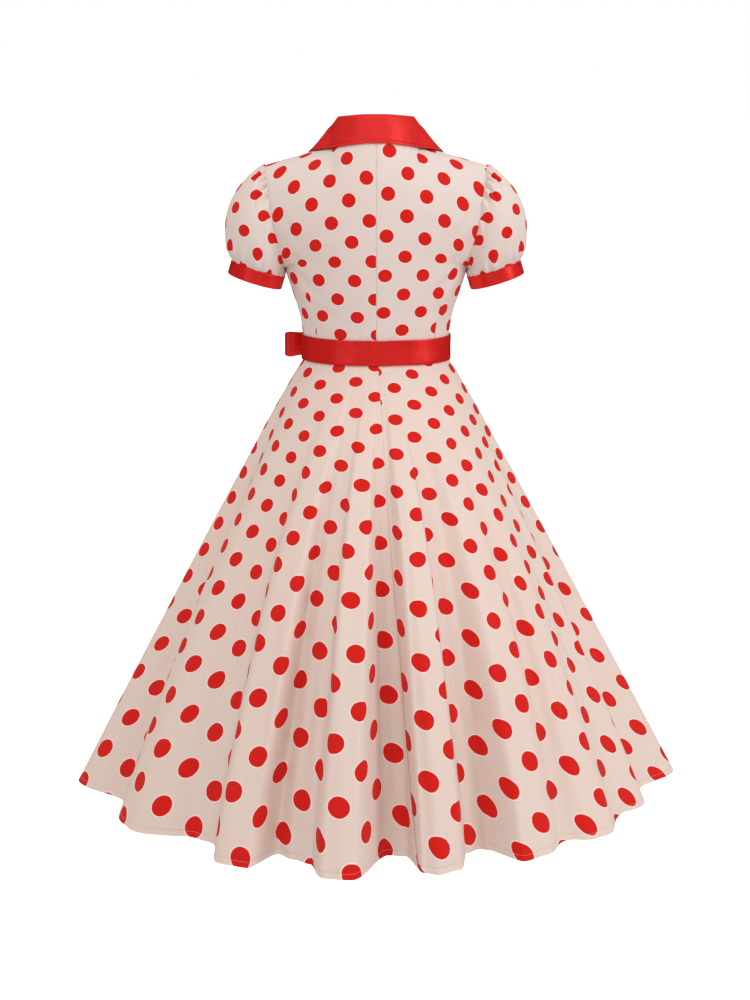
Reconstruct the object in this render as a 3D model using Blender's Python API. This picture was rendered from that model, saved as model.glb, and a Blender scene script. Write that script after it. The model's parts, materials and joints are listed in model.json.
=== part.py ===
"""A tea-length a-line swing dress, worn form, hollow, with the cloth as thin walls.

Metres, +Z up.  The front of the dress faces -Y and the wearer's left is +X.
The origin is the middle of the neck opening, where the wearer's shoulders hold it.
"""

import math

import bpy
import numpy as np

# ---- Driving sizes -------------------------------------------------------------
CLOTH = 0.0012            # wall of the printed cloth
SATIN = 0.0014            # wall of one layer of satin with its interfacing
BAND = 0.0020             # wall of a folded satin band
SEAM_GAP = 0.0003         # air between two pieces that are sewn together
HALF_GAP = SEAM_GAP / 2
WAIST_Z = -0.353          # the waist seam
HEM_DROP = 0.768          # from the waist seam down to the hem
NECK_SHARE = 0.36         # share of the bodice's top edge that is neckline
NECK_SIDE = (0.070, 0.0, -0.016)      # where neckline and shoulder seam meet
SHOULDER_TIP = (0.184, 0.0, -0.048)
NAPE = (0.0, 0.064, 0.008)            # back of the neckline
V_POINT = (0.0, -0.131, -0.190)       # bottom of the front neckline
V_CURVE = 0.62            # how round the V neckline runs from the bust up to the shoulder
BELT_TOP = -0.332
BELT_BOTTOM = -0.374
CREAM = (0.79, 0.63, 0.56, 1.0)
RED = (0.62, 0.02, 0.015, 1.0)

# ---- Bodice levels, from the waist up ------------------------------------------
# Columns: height on the centre line, height at the outer edge, half width,
# depth on the centre line, depth at the outer edge, turn of the curve in degrees.
BACK_LEVELS = (
    (-0.353, -0.353, 0.1212, 0.085, 0.000, 90),
    (-0.302, -0.302, 0.1278, 0.091, 0.000, 90),
    (-0.254, -0.256, 0.1424, 0.098, 0.000, 90),
    (-0.214, -0.222, 0.1520, 0.102, 0.000, 90),
    (-0.188, -0.216, 0.1535, 0.104, 0.024, 76),
    (-0.158, -0.190, 0.1580, 0.105, 0.046, 62),
    (-0.122, -0.145, 0.1700, 0.103, 0.056, 50),
)
FRONT_LEVELS = (
    (-0.353, -0.353, 0.1212, 0.098, 0.000, 90),
    (-0.306, -0.302, 0.1278, 0.107, 0.000, 90),
    (-0.262, -0.256, 0.1424, 0.125, 0.000, 90),
    (-0.232, -0.222, 0.1520, 0.132, 0.000, 90),
    (-0.222, -0.216, 0.1535, 0.133, 0.022, 76),
    (-0.212, -0.190, 0.1570, 0.133, 0.040, 62),
    (-0.202, -0.145, 0.1660, 0.132, 0.050, 52),
)
ARCH_STEPS = (0.30, 0.56, 0.80, 1.0)  # rows over the shoulder, as shares of its turn
ROWS_UP = len(BACK_LEVELS) + len(ARCH_STEPS) - 1
UNDERARM = 3 / ROWS_UP                # the armhole starts at the fourth level
# Rows of the mesh, as shares of the way up. They are closer round the armhole.
BODICE_ROWS = (0, 0.1, 0.2, 0.3, 0.35, 0.4, 0.45, 0.5, 0.55, 0.6, 0.65, 0.7, 0.775, 0.85, 0.925, 1)
BODICE_COLUMNS = 13                   # of each half
BACK_ARCH = (55, 90)                  # turn over the nape, turn over the shoulder
FRONT_ARCH = (62, 90)
BUST_OUT = 0.012                      # fullness that the front darts give
BUST_CENTRE = (0.072, -0.225)         # its place, across and up
BUST_SPREAD = (0.050, 0.055)

# ---- Collar ---------------------------------------------------------------------
# Columns: share from the centre back to the front end, rise of the fold, lean of the
# fold towards the neck, outer edge across the panel, outer edge up the panel.
NECK_POINT_SHARE = 0.36
COLLAR_SHAPE = (
    (0.00, 0.0270, 0.0040, 0.000, 0.905),
    (0.12, 0.0325, 0.0035, 0.170, 0.905),
    (0.22, 0.0400, 0.0035, 0.335, 0.905),
    (0.30, 0.0450, 0.0045, 0.490, 0.935),
    (0.36, 0.0455, 0.0060, 0.600, 1.000),
    (0.45, 0.0400, 0.0070, 0.605, 0.860),
    (0.60, 0.0270, 0.0065, 0.630, 0.720),
    (0.70, 0.0190, 0.0055, 0.610, 0.665),
    (0.80, 0.0140, 0.0045, 0.470, 0.636),
    (0.90, 0.0105, 0.0035, 0.265, 0.612),
    (1.00, 0.0080, 0.0030, 0.030, 0.550),
)
FALL_CLEAR = 0.0040       # the fall's middle surface above the bodice's
FALL_SHARES = (0.30, 0.55, 0.80, 1.0)  # rows of the fall, from the fold to its edge
FALL_EASE = 1.15          # power by which the fall comes down onto the bodice
FOLD_ROUND = 0.0024       # half the thickness of the rolled fold
STAND_FOOT = 0.0022       # the stand starts this far above the neckline
STAND_STEP = 0.0010       # least height from its foot to its middle
STAND_LEANS = (0.3, 0.8)  # shares of the lean at its foot and its middle
COLLAR_COLUMNS = 17       # of each half
COLLAR_ROWS = 12

# ---- Sleeves --------------------------------------------------------------------
CUFF_CENTRE = (0.1985, 0.0, -0.2195)
CUFF_TILT = math.radians(17.3)
CUFF_HALF_WIDTH = 0.0462
CUFF_HALF_DEPTH = 0.0500
CUFF_HEIGHT = 0.0234
CUFF_GAP = 0.0005         # from the sleeve's edge to the cuff
# Columns: turn round the arm from the shoulder, reach at the head out, reach at the
# head up, length held above the cuff, bulge above the cuff.
SLEEVE_SHAPE = (
    (0, 0.033, -0.011, 0.068, 0.060),
    (45, 0.029, -0.005, 0.060, 0.051),
    (90, 0.020, 0.000, 0.040, 0.026),
    (135, 0.010, 0.000, 0.016, 0.010),
    (180, 0.002, -0.003, 0.003, 0.001),
)
ARMHOLE_GAP = 0.0012      # from the bodice's edge to the middle of the sleeve's wall
UNDERARM_CLEAR = 0.0018   # further out under the arm, where the sleeve passes the side
SLEEVE_GATHERS = 14
GATHER_DEPTH = 0.0016
GATHER_UNEVEN = 0.35      # share by which their depth varies round the arm
# Columns: where along the sleeve the gathers are deepest, how far they run, turn from
# the shoulder where they end, turn over which they fade.
GATHER_BANDS = (
    (0.10, 0.12, 110, 60),
    (0.90, 0.10, 150, 60),
)
SLEEVE_COLUMNS = 42
SLEEVE_ROWS = 9

# ---- Skirt ----------------------------------------------------------------------
# Columns: drop below the waist seam, half width, depth behind, depth in front.
SKIRT_SECTIONS = (
    (0.000, 0.1212, 0.085, 0.098),
    (0.018, 0.1222, 0.086, 0.099),
    (0.040, 0.1350, 0.103, 0.115),
    (0.110, 0.1725, 0.168, 0.178),
    (0.190, 0.2117, 0.237, 0.245),
    (0.270, 0.2510, 0.293, 0.299),
    (0.350, 0.2895, 0.338, 0.344),
    (0.440, 0.3325, 0.373, 0.380),
    (0.600, 0.4080, 0.409, 0.418),
    (0.768, 0.4850, 0.437, 0.448),
)
# One row a fold, round the hem from the centre back towards the wearer's left.
# Columns: azimuth of the crest in degrees, how far it stands out at the hem,
# how much lower the hem hangs there, azimuth of the valley after it, how far that
# goes in.
SKIRT_FOLDS = (
    (6.8, 0.038, 0.004, 18.5, 0.040),
    (28.5, 0.036, 0.005, 41.5, 0.036),
    (55.0, 0.026, 0.004, 71.0, 0.030),
    (87.0, 0.048, 0.009, 99.5, 0.030),
    (113.0, 0.036, 0.006, 124.0, 0.036),
    (137.0, 0.033, 0.002, 149.5, 0.031),
    (161.0, 0.038, 0.004, 172.0, 0.042),
    (184.0, 0.034, 0.003, 197.0, 0.030),
    (208.5, 0.037, 0.006, 219.0, 0.038),
    (231.0, 0.031, 0.004, 242.5, 0.035),
    (253.5, 0.030, 0.008, 260.5, 0.016),
    (268.0, 0.050, 0.003, 279.0, 0.018),
    (289.0, 0.006, 0.008, 298.0, 0.026),
    (309.0, 0.018, 0.007, 318.5, 0.022),
    (329.5, 0.022, 0.005, 335.5, 0.060),
    (347.3, 0.030, 0.003, 354.2, 0.056),
)
FOLD_GROWTH = 1.10        # power by which the folds deepen towards the hem
BACK_SEAM_SWING = -8.7    # degrees that the centre back seam drifts down to the hem
LEFT_SEAM = (90.0, 2.5)   # azimuth of the side seam at the waist, and its drift
RIGHT_SEAM = (270.0, -3.0)
SKIRT_DROPS = (0, 0.018, 0.040, 0.085, 0.160, 0.270, 0.400, 0.530, 0.650, HEM_DROP)
BACK_COLUMNS = 39
FRONT_COLUMNS = 73

# ---- Belt and bow ---------------------------------------------------------------
# Columns: height, half width, depth behind, depth in front.
BELT_SECTIONS = (
    (BELT_BOTTOM, 0.1266, 0.0905, 0.1040),
    (-0.360, 0.1264, 0.0903, 0.1040),
    (-0.346, 0.1264, 0.0903, 0.1048),
    (BELT_TOP, 0.1268, 0.0915, 0.1065),
)
BELT_COLUMNS = 48
KNOT_AZIMUTH = 143.0
KNOT_SIZE = (0.0135, 0.0085, 0.0165)  # half sizes along, out and up
KNOT_OUT = 0.0106                     # its middle from the belt's middle surface
KNOT_Z = -0.3590
KNOT_RINGS = 7
KNOT_SIDES = 16
KNOT_TILT = 72                        # degrees from its middle ring to its end rings
KNOT_SQUARE = 0.8                     # below 1 its rings are squarer than an ellipse
KNOT_BARREL = 0.45                    # below 1 its sides are straighter than a ball's
KNOT_RIDGE = 0.06                     # four soft ridges where the wrap is pleated
LOOP_LENGTH = 0.082
LOOP_SWELL = 0.0105                   # half the width of the loop, seen from above
LOOP_HALF_HEIGHT = (0.0120, 0.0195)   # at the knot and at the widest
LOOP_OPENING = 0.7                    # share of the loop's length where it is widest
LOOP_START = 0.94                     # share of the way round that the ribbon shows
LOOP_GAP = 0.0006                     # from the knot to the loop
LOOP_CRIMP = 0.0010                   # depth of the crease along the ribbon
# Columns: name, azimuth at the knot, azimuth at the end, length, outward shift.
TAILS = (
    ("bow_tail_left", 139.8, 131.5, 0.235, 0.0045),
    ("bow_tail_right", 146.2, 153.5, 0.215, 0.0045),
)
TAIL_TOP_Z = -0.3755
TAIL_WIDTH = (0.0105, 0.0370)         # at the knot and at the end
TAIL_SPREAD = 2.2                     # how soon a tail reaches its full width
TAIL_FALL = 0.88                      # drop of a tail for each metre of its length
TAIL_CURVE = 0.7                      # power by which the tails part
TAIL_SLANT = 0.016                    # slant of its cut end
TAIL_LIFT = 0.0050                    # how far it stands off below the knot
TAIL_LIFT_END = 5                     # how soon that lift has gone
RIBBON_COLUMNS = 4
LOOP_ROWS = 21
TAIL_ROWS = 12

STEP = 1e-4               # step of the differences that give a surface's direction
ON_PLANE = 2e-4           # a seam this near a middle plane has its edge square to it
SMOOTH_ANGLE = 40         # edges sharper than this stay sharp


# ---- Small tools ----------------------------------------------------------------
def clear_scene():
    for thing in list(bpy.data.objects):
        bpy.data.objects.remove(thing, do_unlink=True)


def finish(name, colour, roughness):
    material = bpy.data.materials.new(name)
    material.use_nodes = True
    shader = material.node_tree.nodes["Principled BSDF"]
    shader.inputs["Base Color"].default_value = colour
    shader.inputs["Roughness"].default_value = roughness
    shader.inputs["Metallic"].default_value = 0.0
    return material


def through(keys, values, at):
    """A smooth curve through the values at the keys, which rise, with no overshoot."""
    keys = np.asarray(list(keys), dtype=float)
    values = np.asarray(values, dtype=float)
    spans = np.diff(keys)
    shape = (-1,) + (1,) * (values.ndim - 1)
    rises = np.diff(values, axis=0) / spans.reshape(shape)
    slopes = np.empty_like(values)
    slopes[0] = rises[0]
    slopes[-1] = rises[-1]
    product = rises[:-1] * rises[1:]
    total = np.where(product > 0, rises[:-1] + rises[1:], 1.0)
    slopes[1:-1] = np.where(product > 0, 2 * product / total, 0.0)
    if at <= keys[0]:
        return values[0] + slopes[0] * (at - keys[0])
    if at >= keys[-1]:
        return values[-1] + slopes[-1] * (at - keys[-1])
    low = int(np.searchsorted(keys, at, side="right")) - 1
    span = spans[low]
    t = (at - keys[low]) / span
    start = (1 + 2 * t) * (1 - t) ** 2 * values[low] + t * (1 - t) ** 2 * span * slopes[low]
    end = t * t * (3 - 2 * t) * values[low + 1] - t * t * (1 - t) * span * slopes[low + 1]
    return start + end


def column(table, index):
    return [row[index] for row in table]


def row_at(table, at):
    """All the columns of a table after its first, read at a place on the first."""
    return through(column(table, 0), [row[1:] for row in table], at)


def eased(share):
    return 0.5 - 0.5 * math.cos(math.pi * min(max(share, 0.0), 1.0))


def unit(vector):
    vector = np.asarray(vector, dtype=float)
    return vector / np.linalg.norm(vector)


def direction_of(place, u, v):
    """The unit normal of the surface place(u, v), square to a seam on a middle plane."""
    along = place(u + STEP, v) - place(u - STEP, v)
    across = place(u, v + STEP) - place(u, v - STEP)
    normal = np.cross(along, across)
    on_plane = np.abs(place(u, v)) < ON_PLANE
    on_plane[2] = False
    normal[on_plane] = 0.0
    return unit(normal)


def wall(name, place, us, vs, thickness, material, around=False):
    """One closed wall of even thickness along the surface place(u, v)."""
    count_u = len(us)
    count_v = len(vs)
    middle = [[place(u, v) for v in vs] for u in us]
    normal = [[direction_of(place, u, v) for v in vs] for u in us]
    points = []
    for side in (0.5, -0.5):
        for i in range(count_u):
            for j in range(count_v):
                points.append(middle[i][j] + normal[i][j] * side * thickness)
    under = count_u * count_v

    def at(i, j):
        return (i % count_u) * count_v + j

    faces = []

    def skin(a, b, c, d):
        faces.append((a, b, c))
        faces.append((a, c, d))
        faces.append((under + c, under + b, under + a))
        faces.append((under + d, under + c, under + a))

    def rim(a, b):
        faces.append((b, a, under + a))
        faces.append((b, under + a, under + b))

    def far_rim(a, b):
        faces.append((b, a, under + b))
        faces.append((a, under + a, under + b))

    for i in range(count_u if around else count_u - 1):
        for j in range(count_v - 1):
            skin(at(i, j), at(i + 1, j), at(i + 1, j + 1), at(i, j + 1))
        rim(at(i, 0), at(i + 1, 0))
        rim(at(i + 1, count_v - 1), at(i, count_v - 1))
    if not around:
        last = count_u - 1
        for j in range(count_v - 1):
            rim(at(0, j + 1), at(0, j))
            far_rim(at(last, j), at(last, j + 1))
    return solid(name, points, faces, material)


def solid(name, points, faces, material):
    """A mesh object from closed faces, turned so that they point out."""
    corners = np.array(points)
    triangles = corners[np.array(faces)]
    volume = np.einsum("ij,ij->i", triangles[:, 0], np.cross(triangles[:, 1], triangles[:, 2]))
    if volume.sum() < 0:
        faces = [tuple(reversed(face)) for face in faces]
    mesh = bpy.data.meshes.new(name)
    mesh.from_pydata([tuple(point) for point in corners], [], faces)
    mesh.materials.append(material)
    mesh.shade_smooth()
    mesh.set_sharp_from_angle(angle=math.radians(SMOOTH_ANGLE))
    made = bpy.data.objects.new(name, mesh)
    bpy.context.collection.objects.link(made)
    return made


def mirrored(place, side):
    """The same surface on the wearer's left (side 1) or right (side -1)."""
    flip = np.array((side, 1.0, 1.0))
    return lambda u, v: place(u, v) * flip


# ---- Bodice ---------------------------------------------------------------------
def level_point(level, facing, share):
    """A point of one level, from the centre line (share 0) to the outer edge (1)."""
    mid_z, edge_z, half_width, mid_depth, edge_depth, turn = level
    end = math.radians(turn)
    angle = share * end
    bow = (math.cos(angle) - math.cos(end)) / (1 - math.cos(end))
    return np.array((
        half_width * math.sin(angle) / math.sin(end),
        facing * (edge_depth + (mid_depth - edge_depth) * bow),
        mid_z + (edge_z - mid_z) * share * share,
    ))


def top_edge(facing, share):
    """The neckline, then the shoulder seam."""
    neck = np.array(NECK_SIDE)
    if share >= NECK_SHARE:
        return neck + (np.array(SHOULDER_TIP) - neck) * (share - NECK_SHARE) / (1 - NECK_SHARE)
    part = share / NECK_SHARE
    if facing > 0:
        angle = part * math.pi / 2
        rise = NAPE[2] + (NECK_SIDE[2] - NAPE[2]) * math.sin(angle) ** 2
        return np.array((NECK_SIDE[0] * math.sin(angle), NAPE[1] * math.cos(angle), rise))
    start = np.array(V_POINT)
    point = start + (neck - start) * part
    point[1] = V_POINT[1] * max(1 - part, 0.0) ** V_CURVE
    return point


def bodice_column(facing, share):
    """The points up one column of the bodice, from the waist to the top edge."""
    levels = BACK_LEVELS if facing > 0 else FRONT_LEVELS
    least, most = BACK_ARCH if facing > 0 else FRONT_ARCH
    points = [level_point(level, facing, share) for level in levels]
    chest = points[-1]
    top = top_edge(facing, share)
    end = math.radians(least + (most - least) * eased(share / NECK_SHARE))
    for step in ARCH_STEPS:
        angle = step * end
        rise = math.sin(angle) / math.sin(end)
        back = (math.cos(angle) - math.cos(end)) / (1 - math.cos(end))
        points.append(np.array((
            chest[0] + (top[0] - chest[0]) * rise,
            top[1] + (chest[1] - top[1]) * back,
            chest[2] + (top[2] - chest[2]) * rise,
        )))
    return points


def bodice_point(facing, share, up):
    """A point of the wearer's left half: facing 1 is the back, -1 the front."""
    points = bodice_column(facing, share)
    place = through(range(ROWS_UP + 1), points, up * ROWS_UP)
    if facing < 0:
        across = (abs(place[0]) - BUST_CENTRE[0]) / BUST_SPREAD[0]
        height = (place[2] - BUST_CENTRE[1]) / BUST_SPREAD[1]
        place = place - np.array((0.0, BUST_OUT * math.exp(-across**2 - height**2), 0.0))
    return place


def half_bodice(facing):
    return lambda share, up: bodice_point(facing, share, up)


def make_bodice(cloth):
    half = np.linspace(0, 1, BODICE_COLUMNS)
    both = np.concatenate((-half[:0:-1], half))
    for side, name in ((1, "bodice_back_left"), (-1, "bodice_back_right")):
        seam = np.array((side * HALF_GAP, HALF_GAP, 0.0))
        shape = mirrored(half_bodice(1), side)
        wall(name, lambda u, v: shape(u, v) + seam, half, BODICE_ROWS, CLOTH, cloth)

    def front(u, v):
        place = bodice_point(-1, abs(u), v) * np.array((math.copysign(1.0, u), 1.0, 1.0))
        return place - np.array((0.0, HALF_GAP, 0.0))

    wall("bodice_front", front, both, BODICE_ROWS, CLOTH, cloth)


# ---- Collar ---------------------------------------------------------------------
def collar_profile(share):
    """The points across the collar: up the stand, over the fold and down the fall."""
    rise, lean, edge_across, edge_up = row_at(COLLAR_SHAPE, share)
    if share <= NECK_POINT_SHARE:
        facing = 1
        seam_across = NECK_SHARE * share / NECK_POINT_SHARE
    else:
        facing = -1
        seam_across = NECK_SHARE * (1 - share) / (1 - NECK_POINT_SHARE)
    panel = half_bodice(facing)
    seam = panel(seam_across, 1.0)
    front_share = eased((share - NECK_POINT_SHARE) / (1 - NECK_POINT_SHARE))
    outward = direction_of(panel, max(seam_across, 0.02), 0.985)
    if outward[1] * facing < 0:
        outward = -outward
    up = unit(np.array((0, 0, 1.0)) * (1 - front_share) + outward * front_share)
    inward = -unit(np.array((seam[0] + 1e-6, seam[1] * (1 - front_share), 0.0)))
    half_rise = max(rise * 0.5, STAND_FOOT + STAND_STEP)
    points = [
        seam + up * STAND_FOOT + inward * lean * STAND_LEANS[0],
        seam + up * half_rise + inward * lean * STAND_LEANS[1],
        seam + up * (rise - FOLD_ROUND) + inward * (lean + FOLD_ROUND),
        seam + up * rise + inward * lean,
        seam + up * (rise - FOLD_ROUND) + inward * (lean - FOLD_ROUND),
    ]
    for part in FALL_SHARES:
        across = seam_across + (edge_across - seam_across) * part
        height = 1.0 + (edge_up - 1.0) * part
        on_panel = panel(across, height)
        lift = direction_of(panel, max(across, 0.001), min(height, 0.998))
        if lift[2] + lift[1] * facing < 0:
            lift = -lift
        left = (1 - part) ** FALL_EASE
        points.append(on_panel + lift * FALL_CLEAR + up * rise * left + inward * lean * left)
    return points


def collar_half(share, across):
    points = collar_profile(min(share, 1.0))
    return through(range(len(points)), points, across * (len(points) - 1))


def make_collar(satin):
    def collar(u, v):
        place = collar_half(abs(u), v)
        return place * np.array((math.copysign(1.0, u), 1.0, 1.0))

    half = np.linspace(0, 1, COLLAR_COLUMNS)
    both = np.concatenate((-half[:0:-1], half))
    wall("collar", collar, both, np.linspace(0, 1, COLLAR_ROWS), SATIN, satin)


# ---- Sleeves and cuffs ----------------------------------------------------------
def armhole_point(turn):
    """Round the armhole from the shoulder (0) by the back (90) to the underarm (180)."""
    facing = 1 if turn % 360 <= 180 else -1
    part = (turn % 360) / 180 if facing > 0 else (360 - turn % 360) / 180
    up = 1 - part * (1 - UNDERARM)
    edge = bodice_point(facing, 1.0, up)
    inside = bodice_point(facing, 0.97, up)
    clear = np.array((UNDERARM_CLEAR * eased(part * 3 - 2), 0.0, 0.0))
    return edge + unit(edge - inside) * ARMHOLE_GAP + clear


def cuff_frame(turn):
    """The direction out of the cuff at a turn round the arm, and its length direction."""
    down = np.array((math.sin(CUFF_TILT), 0.0, -math.cos(CUFF_TILT)))
    wide = np.array((math.cos(CUFF_TILT), 0.0, math.sin(CUFF_TILT)))
    angle = math.radians(turn)
    out = wide * math.cos(angle) + np.array((0.0, 1.0, 0.0)) * math.sin(angle)
    return out, down


def cuff_point(turn, down_by, out_by=0.0):
    out, down = cuff_frame(turn)
    angle = math.radians(turn)
    size = math.hypot(CUFF_HALF_WIDTH * math.cos(angle), CUFF_HALF_DEPTH * math.sin(angle))
    return np.array(CUFF_CENTRE) + out * (size + out_by) + down * down_by


def sleeve_point(turn, along):
    """The puffed sleeve from the armhole (along 0) to the top of its cuff (1)."""
    fold = turn % 360
    half_turn = min(fold, 360 - fold)
    head_out, head_up, hold, bulge = row_at(SLEEVE_SHAPE, half_turn)
    start = armhole_point(turn)
    out, down = cuff_frame(turn)
    end = cuff_point(turn, -CUFF_GAP)
    facing = np.array((0.0, math.sin(math.radians(turn)), 0.0))
    first = start + np.array((head_out, 0.0, head_up)) + facing * head_out * 0.5
    second = end - down * hold + out * bulge
    t = along
    place = start * (1 - t) ** 3 + first * 3 * t * (1 - t) ** 2
    place = place + second * 3 * t * t * (1 - t) + end * t**3
    gathered = 0.0
    for middle, spread, last, fade in GATHER_BANDS:
        gathered += math.exp(-(((t - middle) / spread) ** 2)) * eased((last - half_turn) / fade)
    uneven = 1 + GATHER_UNEVEN * math.sin(math.radians(3 * turn + 40))
    ripple = math.cos(math.radians(SLEEVE_GATHERS * turn)) * uneven * GATHER_DEPTH
    return place + out * ripple * gathered


def make_sleeves(cloth, satin):
    turns = np.linspace(0, 360, SLEEVE_COLUMNS, endpoint=False)
    along = np.linspace(0, 1, SLEEVE_ROWS)
    rows = (0.0, CUFF_HEIGHT)
    for side, word in ((1, "left"), (-1, "right")):
        sleeve = mirrored(sleeve_point, side)
        cuff = mirrored(cuff_point, side)
        wall("sleeve_" + word, sleeve, turns, along, CLOTH, cloth, around=True)
        wall("cuff_" + word, cuff, turns, rows, BAND, satin, around=True)


# ---- Skirt ----------------------------------------------------------------------
def ring_radius(azimuth, half_width, behind, in_front):
    """The radius of an oval whose back and front halves differ in depth."""
    angle = math.radians(azimuth)
    depth = behind if math.cos(angle) > 0 else in_front
    return 1 / math.hypot(math.sin(angle) / half_width, math.cos(angle) / depth)


def fold_marks():
    """Azimuth, reach and sag of each crest and valley, running past both ends."""
    marks = []
    for crest, out, sag, valley, inward in SKIRT_FOLDS:
        marks.append((crest, out, sag))
        marks.append((valley, -inward, 0.0))
    before = (marks[-1][0] - 360,) + marks[-1][1:]
    after = (marks[0][0] + 360,) + marks[0][1:]
    return [before] + marks + [after]


FOLD_MARKS = fold_marks()


def fold_at(azimuth):
    """How far the hem stands out or in, and how much lower it hangs, at this azimuth."""
    azimuth = (azimuth - FOLD_MARKS[0][0]) % 360 + FOLD_MARKS[0][0]
    for low, high in zip(FOLD_MARKS, FOLD_MARKS[1:]):
        if low[0] <= azimuth <= high[0]:
            share = eased((azimuth - low[0]) / (high[0] - low[0]))
            return low[1] + (high[1] - low[1]) * share, low[2] + (high[2] - low[2]) * share
    return 0.0, 0.0


def skirt_point(azimuth, drop, out_by=0.0):
    """A point of the skirt, by its azimuth from the back and its drop from the waist."""
    half_width, behind, in_front = row_at(SKIRT_SECTIONS, drop)
    radius = ring_radius(azimuth, half_width, behind, in_front)
    grown = max(drop / HEM_DROP, 0.0) ** FOLD_GROWTH
    reach, sag = fold_at(azimuth)
    radius += reach * grown + out_by
    angle = math.radians(azimuth)
    height = WAIST_Z - SEAM_GAP - drop - sag * grown
    return np.array((radius * math.sin(angle), radius * math.cos(angle), height))


def skirt_panel(first, last):
    """A panel between two seams, each given by its azimuth at the waist and its swing."""

    def place(u, v):
        drop = v * HEM_DROP
        start = first[0] + first[1] * v
        end = last[0] + last[1] * v
        azimuth = start + (end - start) * u
        radius = np.linalg.norm(skirt_point(azimuth, drop)[:2])
        gap = math.degrees(HALF_GAP / radius)
        return skirt_point(azimuth + gap * (1 - 2 * min(max(u, 0.0), 1.0)), drop)

    return place


def make_skirt(cloth):
    rows = np.array(SKIRT_DROPS) / HEM_DROP
    back_start = (0.0, BACK_SEAM_SWING)
    back_end = (360.0, BACK_SEAM_SWING)
    pieces = (
        ("skirt_back_left", back_start, LEFT_SEAM, BACK_COLUMNS),
        ("skirt_front", LEFT_SEAM, RIGHT_SEAM, FRONT_COLUMNS),
        ("skirt_back_right", RIGHT_SEAM, back_end, BACK_COLUMNS),
    )
    for name, first, last, count in pieces:
        wall(name, skirt_panel(first, last), np.linspace(0, 1, count), rows, CLOTH, cloth)


# ---- Belt and bow ---------------------------------------------------------------
def belt_point(azimuth, height, out_by=0.0):
    half_width, behind, in_front = row_at(BELT_SECTIONS, height)
    radius = ring_radius(azimuth, half_width, behind, in_front) + out_by
    angle = math.radians(azimuth)
    return np.array((radius * math.sin(angle), radius * math.cos(angle), height))


def knot_frame():
    """The middle of the knot, the way along the belt to the wearer's left, and out."""
    ahead = belt_point(KNOT_AZIMUTH - 1, KNOT_Z) - belt_point(KNOT_AZIMUTH + 1, KNOT_Z)
    along = unit(ahead)
    out = unit(np.cross(along, (0.0, 0.0, 1.0)))
    if out[1] > 0:
        out = -out
    return belt_point(KNOT_AZIMUTH, KNOT_Z) + out * KNOT_OUT, along, out


def loop_surface(side):
    """One loop: a ribbon that runs out from the knot, turns over and comes back."""
    middle, along, out = knot_frame()

    def place(u, v):
        round_by = LOOP_START * (2 * u - 1)
        from_knot = 1 - round_by * round_by
        reach = KNOT_SIZE[0] + LOOP_GAP + LOOP_LENGTH * from_knot
        swell = LOOP_SWELL * math.sin(math.pi * round_by)
        near, wide = LOOP_HALF_HEIGHT
        height = near + (wide - near) * eased(from_knot / LOOP_OPENING)
        crimp = LOOP_CRIMP * math.cos(2 * math.pi * v) * round_by * round_by
        up = np.array((0.0, 0.0, height * (2 * v - 1)))
        return middle + along * side * reach + out * (swell + crimp) + up

    return place


def make_knot(satin):
    """A soft wrap round the middle of the bow, pinched above and below."""
    middle, along, out = knot_frame()
    half_along, half_out, half_up = KNOT_SIZE
    points = []
    for tilt in np.radians(np.linspace(-KNOT_TILT, KNOT_TILT, KNOT_RINGS)):
        up = np.array((0.0, 0.0, half_up * math.sin(tilt)))
        for side in range(KNOT_SIDES):
            angle = 2 * math.pi * side / KNOT_SIDES
            across = math.copysign(abs(math.cos(angle)) ** KNOT_SQUARE, math.cos(angle))
            depth = math.copysign(abs(math.sin(angle)) ** KNOT_SQUARE, math.sin(angle))
            ridge = (1 + KNOT_RIDGE * math.cos(4 * angle)) / (1 + KNOT_RIDGE)
            size = math.cos(tilt) ** KNOT_BARREL * ridge
            ring = along * half_along * across + out * half_out * depth
            points.append(middle + ring * size + up)
    faces = []
    for start in range(0, (KNOT_RINGS - 1) * KNOT_SIDES, KNOT_SIDES):
        for side in range(KNOT_SIDES):
            a = start + side
            b = start + (side + 1) % KNOT_SIDES
            faces.append((a, b, b + KNOT_SIDES))
            faces.append((a, b + KNOT_SIDES, a + KNOT_SIDES))
    last = (KNOT_RINGS - 1) * KNOT_SIDES
    for side in range(1, KNOT_SIDES - 1):
        faces.append((0, side + 1, side))
        faces.append((last, last + side, last + side + 1))
    return solid("bow_knot", points, faces, satin)


def tail_surface(start_azimuth, end_azimuth, length, out_by):
    """A free end of the sash, lying on the skirt below the knot."""

    def place(u, v):
        drop = WAIST_Z - TAIL_TOP_Z + length * TAIL_FALL * v
        azimuth = start_azimuth + (end_azimuth - start_azimuth) * max(v, 0.0) ** TAIL_CURVE
        radius = np.linalg.norm(skirt_point(azimuth, drop)[:2])
        near, far = TAIL_WIDTH
        width = near + (far - near) * eased(v * TAIL_SPREAD)
        azimuth += math.degrees(width * (u - 0.5) / radius)
        slant = TAIL_SLANT * (u - 0.5) * v * v
        lift = TAIL_LIFT * (1 - eased(v * TAIL_LIFT_END))
        return skirt_point(azimuth, drop + slant, out_by + lift)

    return place


def make_belt_and_bow(satin):
    azimuths = np.linspace(0, 360, BELT_COLUMNS, endpoint=False)
    wall("belt", belt_point, azimuths, column(BELT_SECTIONS, 0), SATIN, satin, around=True)
    make_knot(satin)
    across = np.linspace(0, 1, RIBBON_COLUMNS)
    for side, name in ((1, "bow_loop_left"), (-1, "bow_loop_right")):
        wall(name, loop_surface(side), np.linspace(0, 1, LOOP_ROWS), across, SATIN, satin)
    for name, start, end, length, out_by in TAILS:
        surface = tail_surface(start, end, length, out_by)
        wall(name, surface, across, np.linspace(0, 1, TAIL_ROWS), SATIN, satin)


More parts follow.
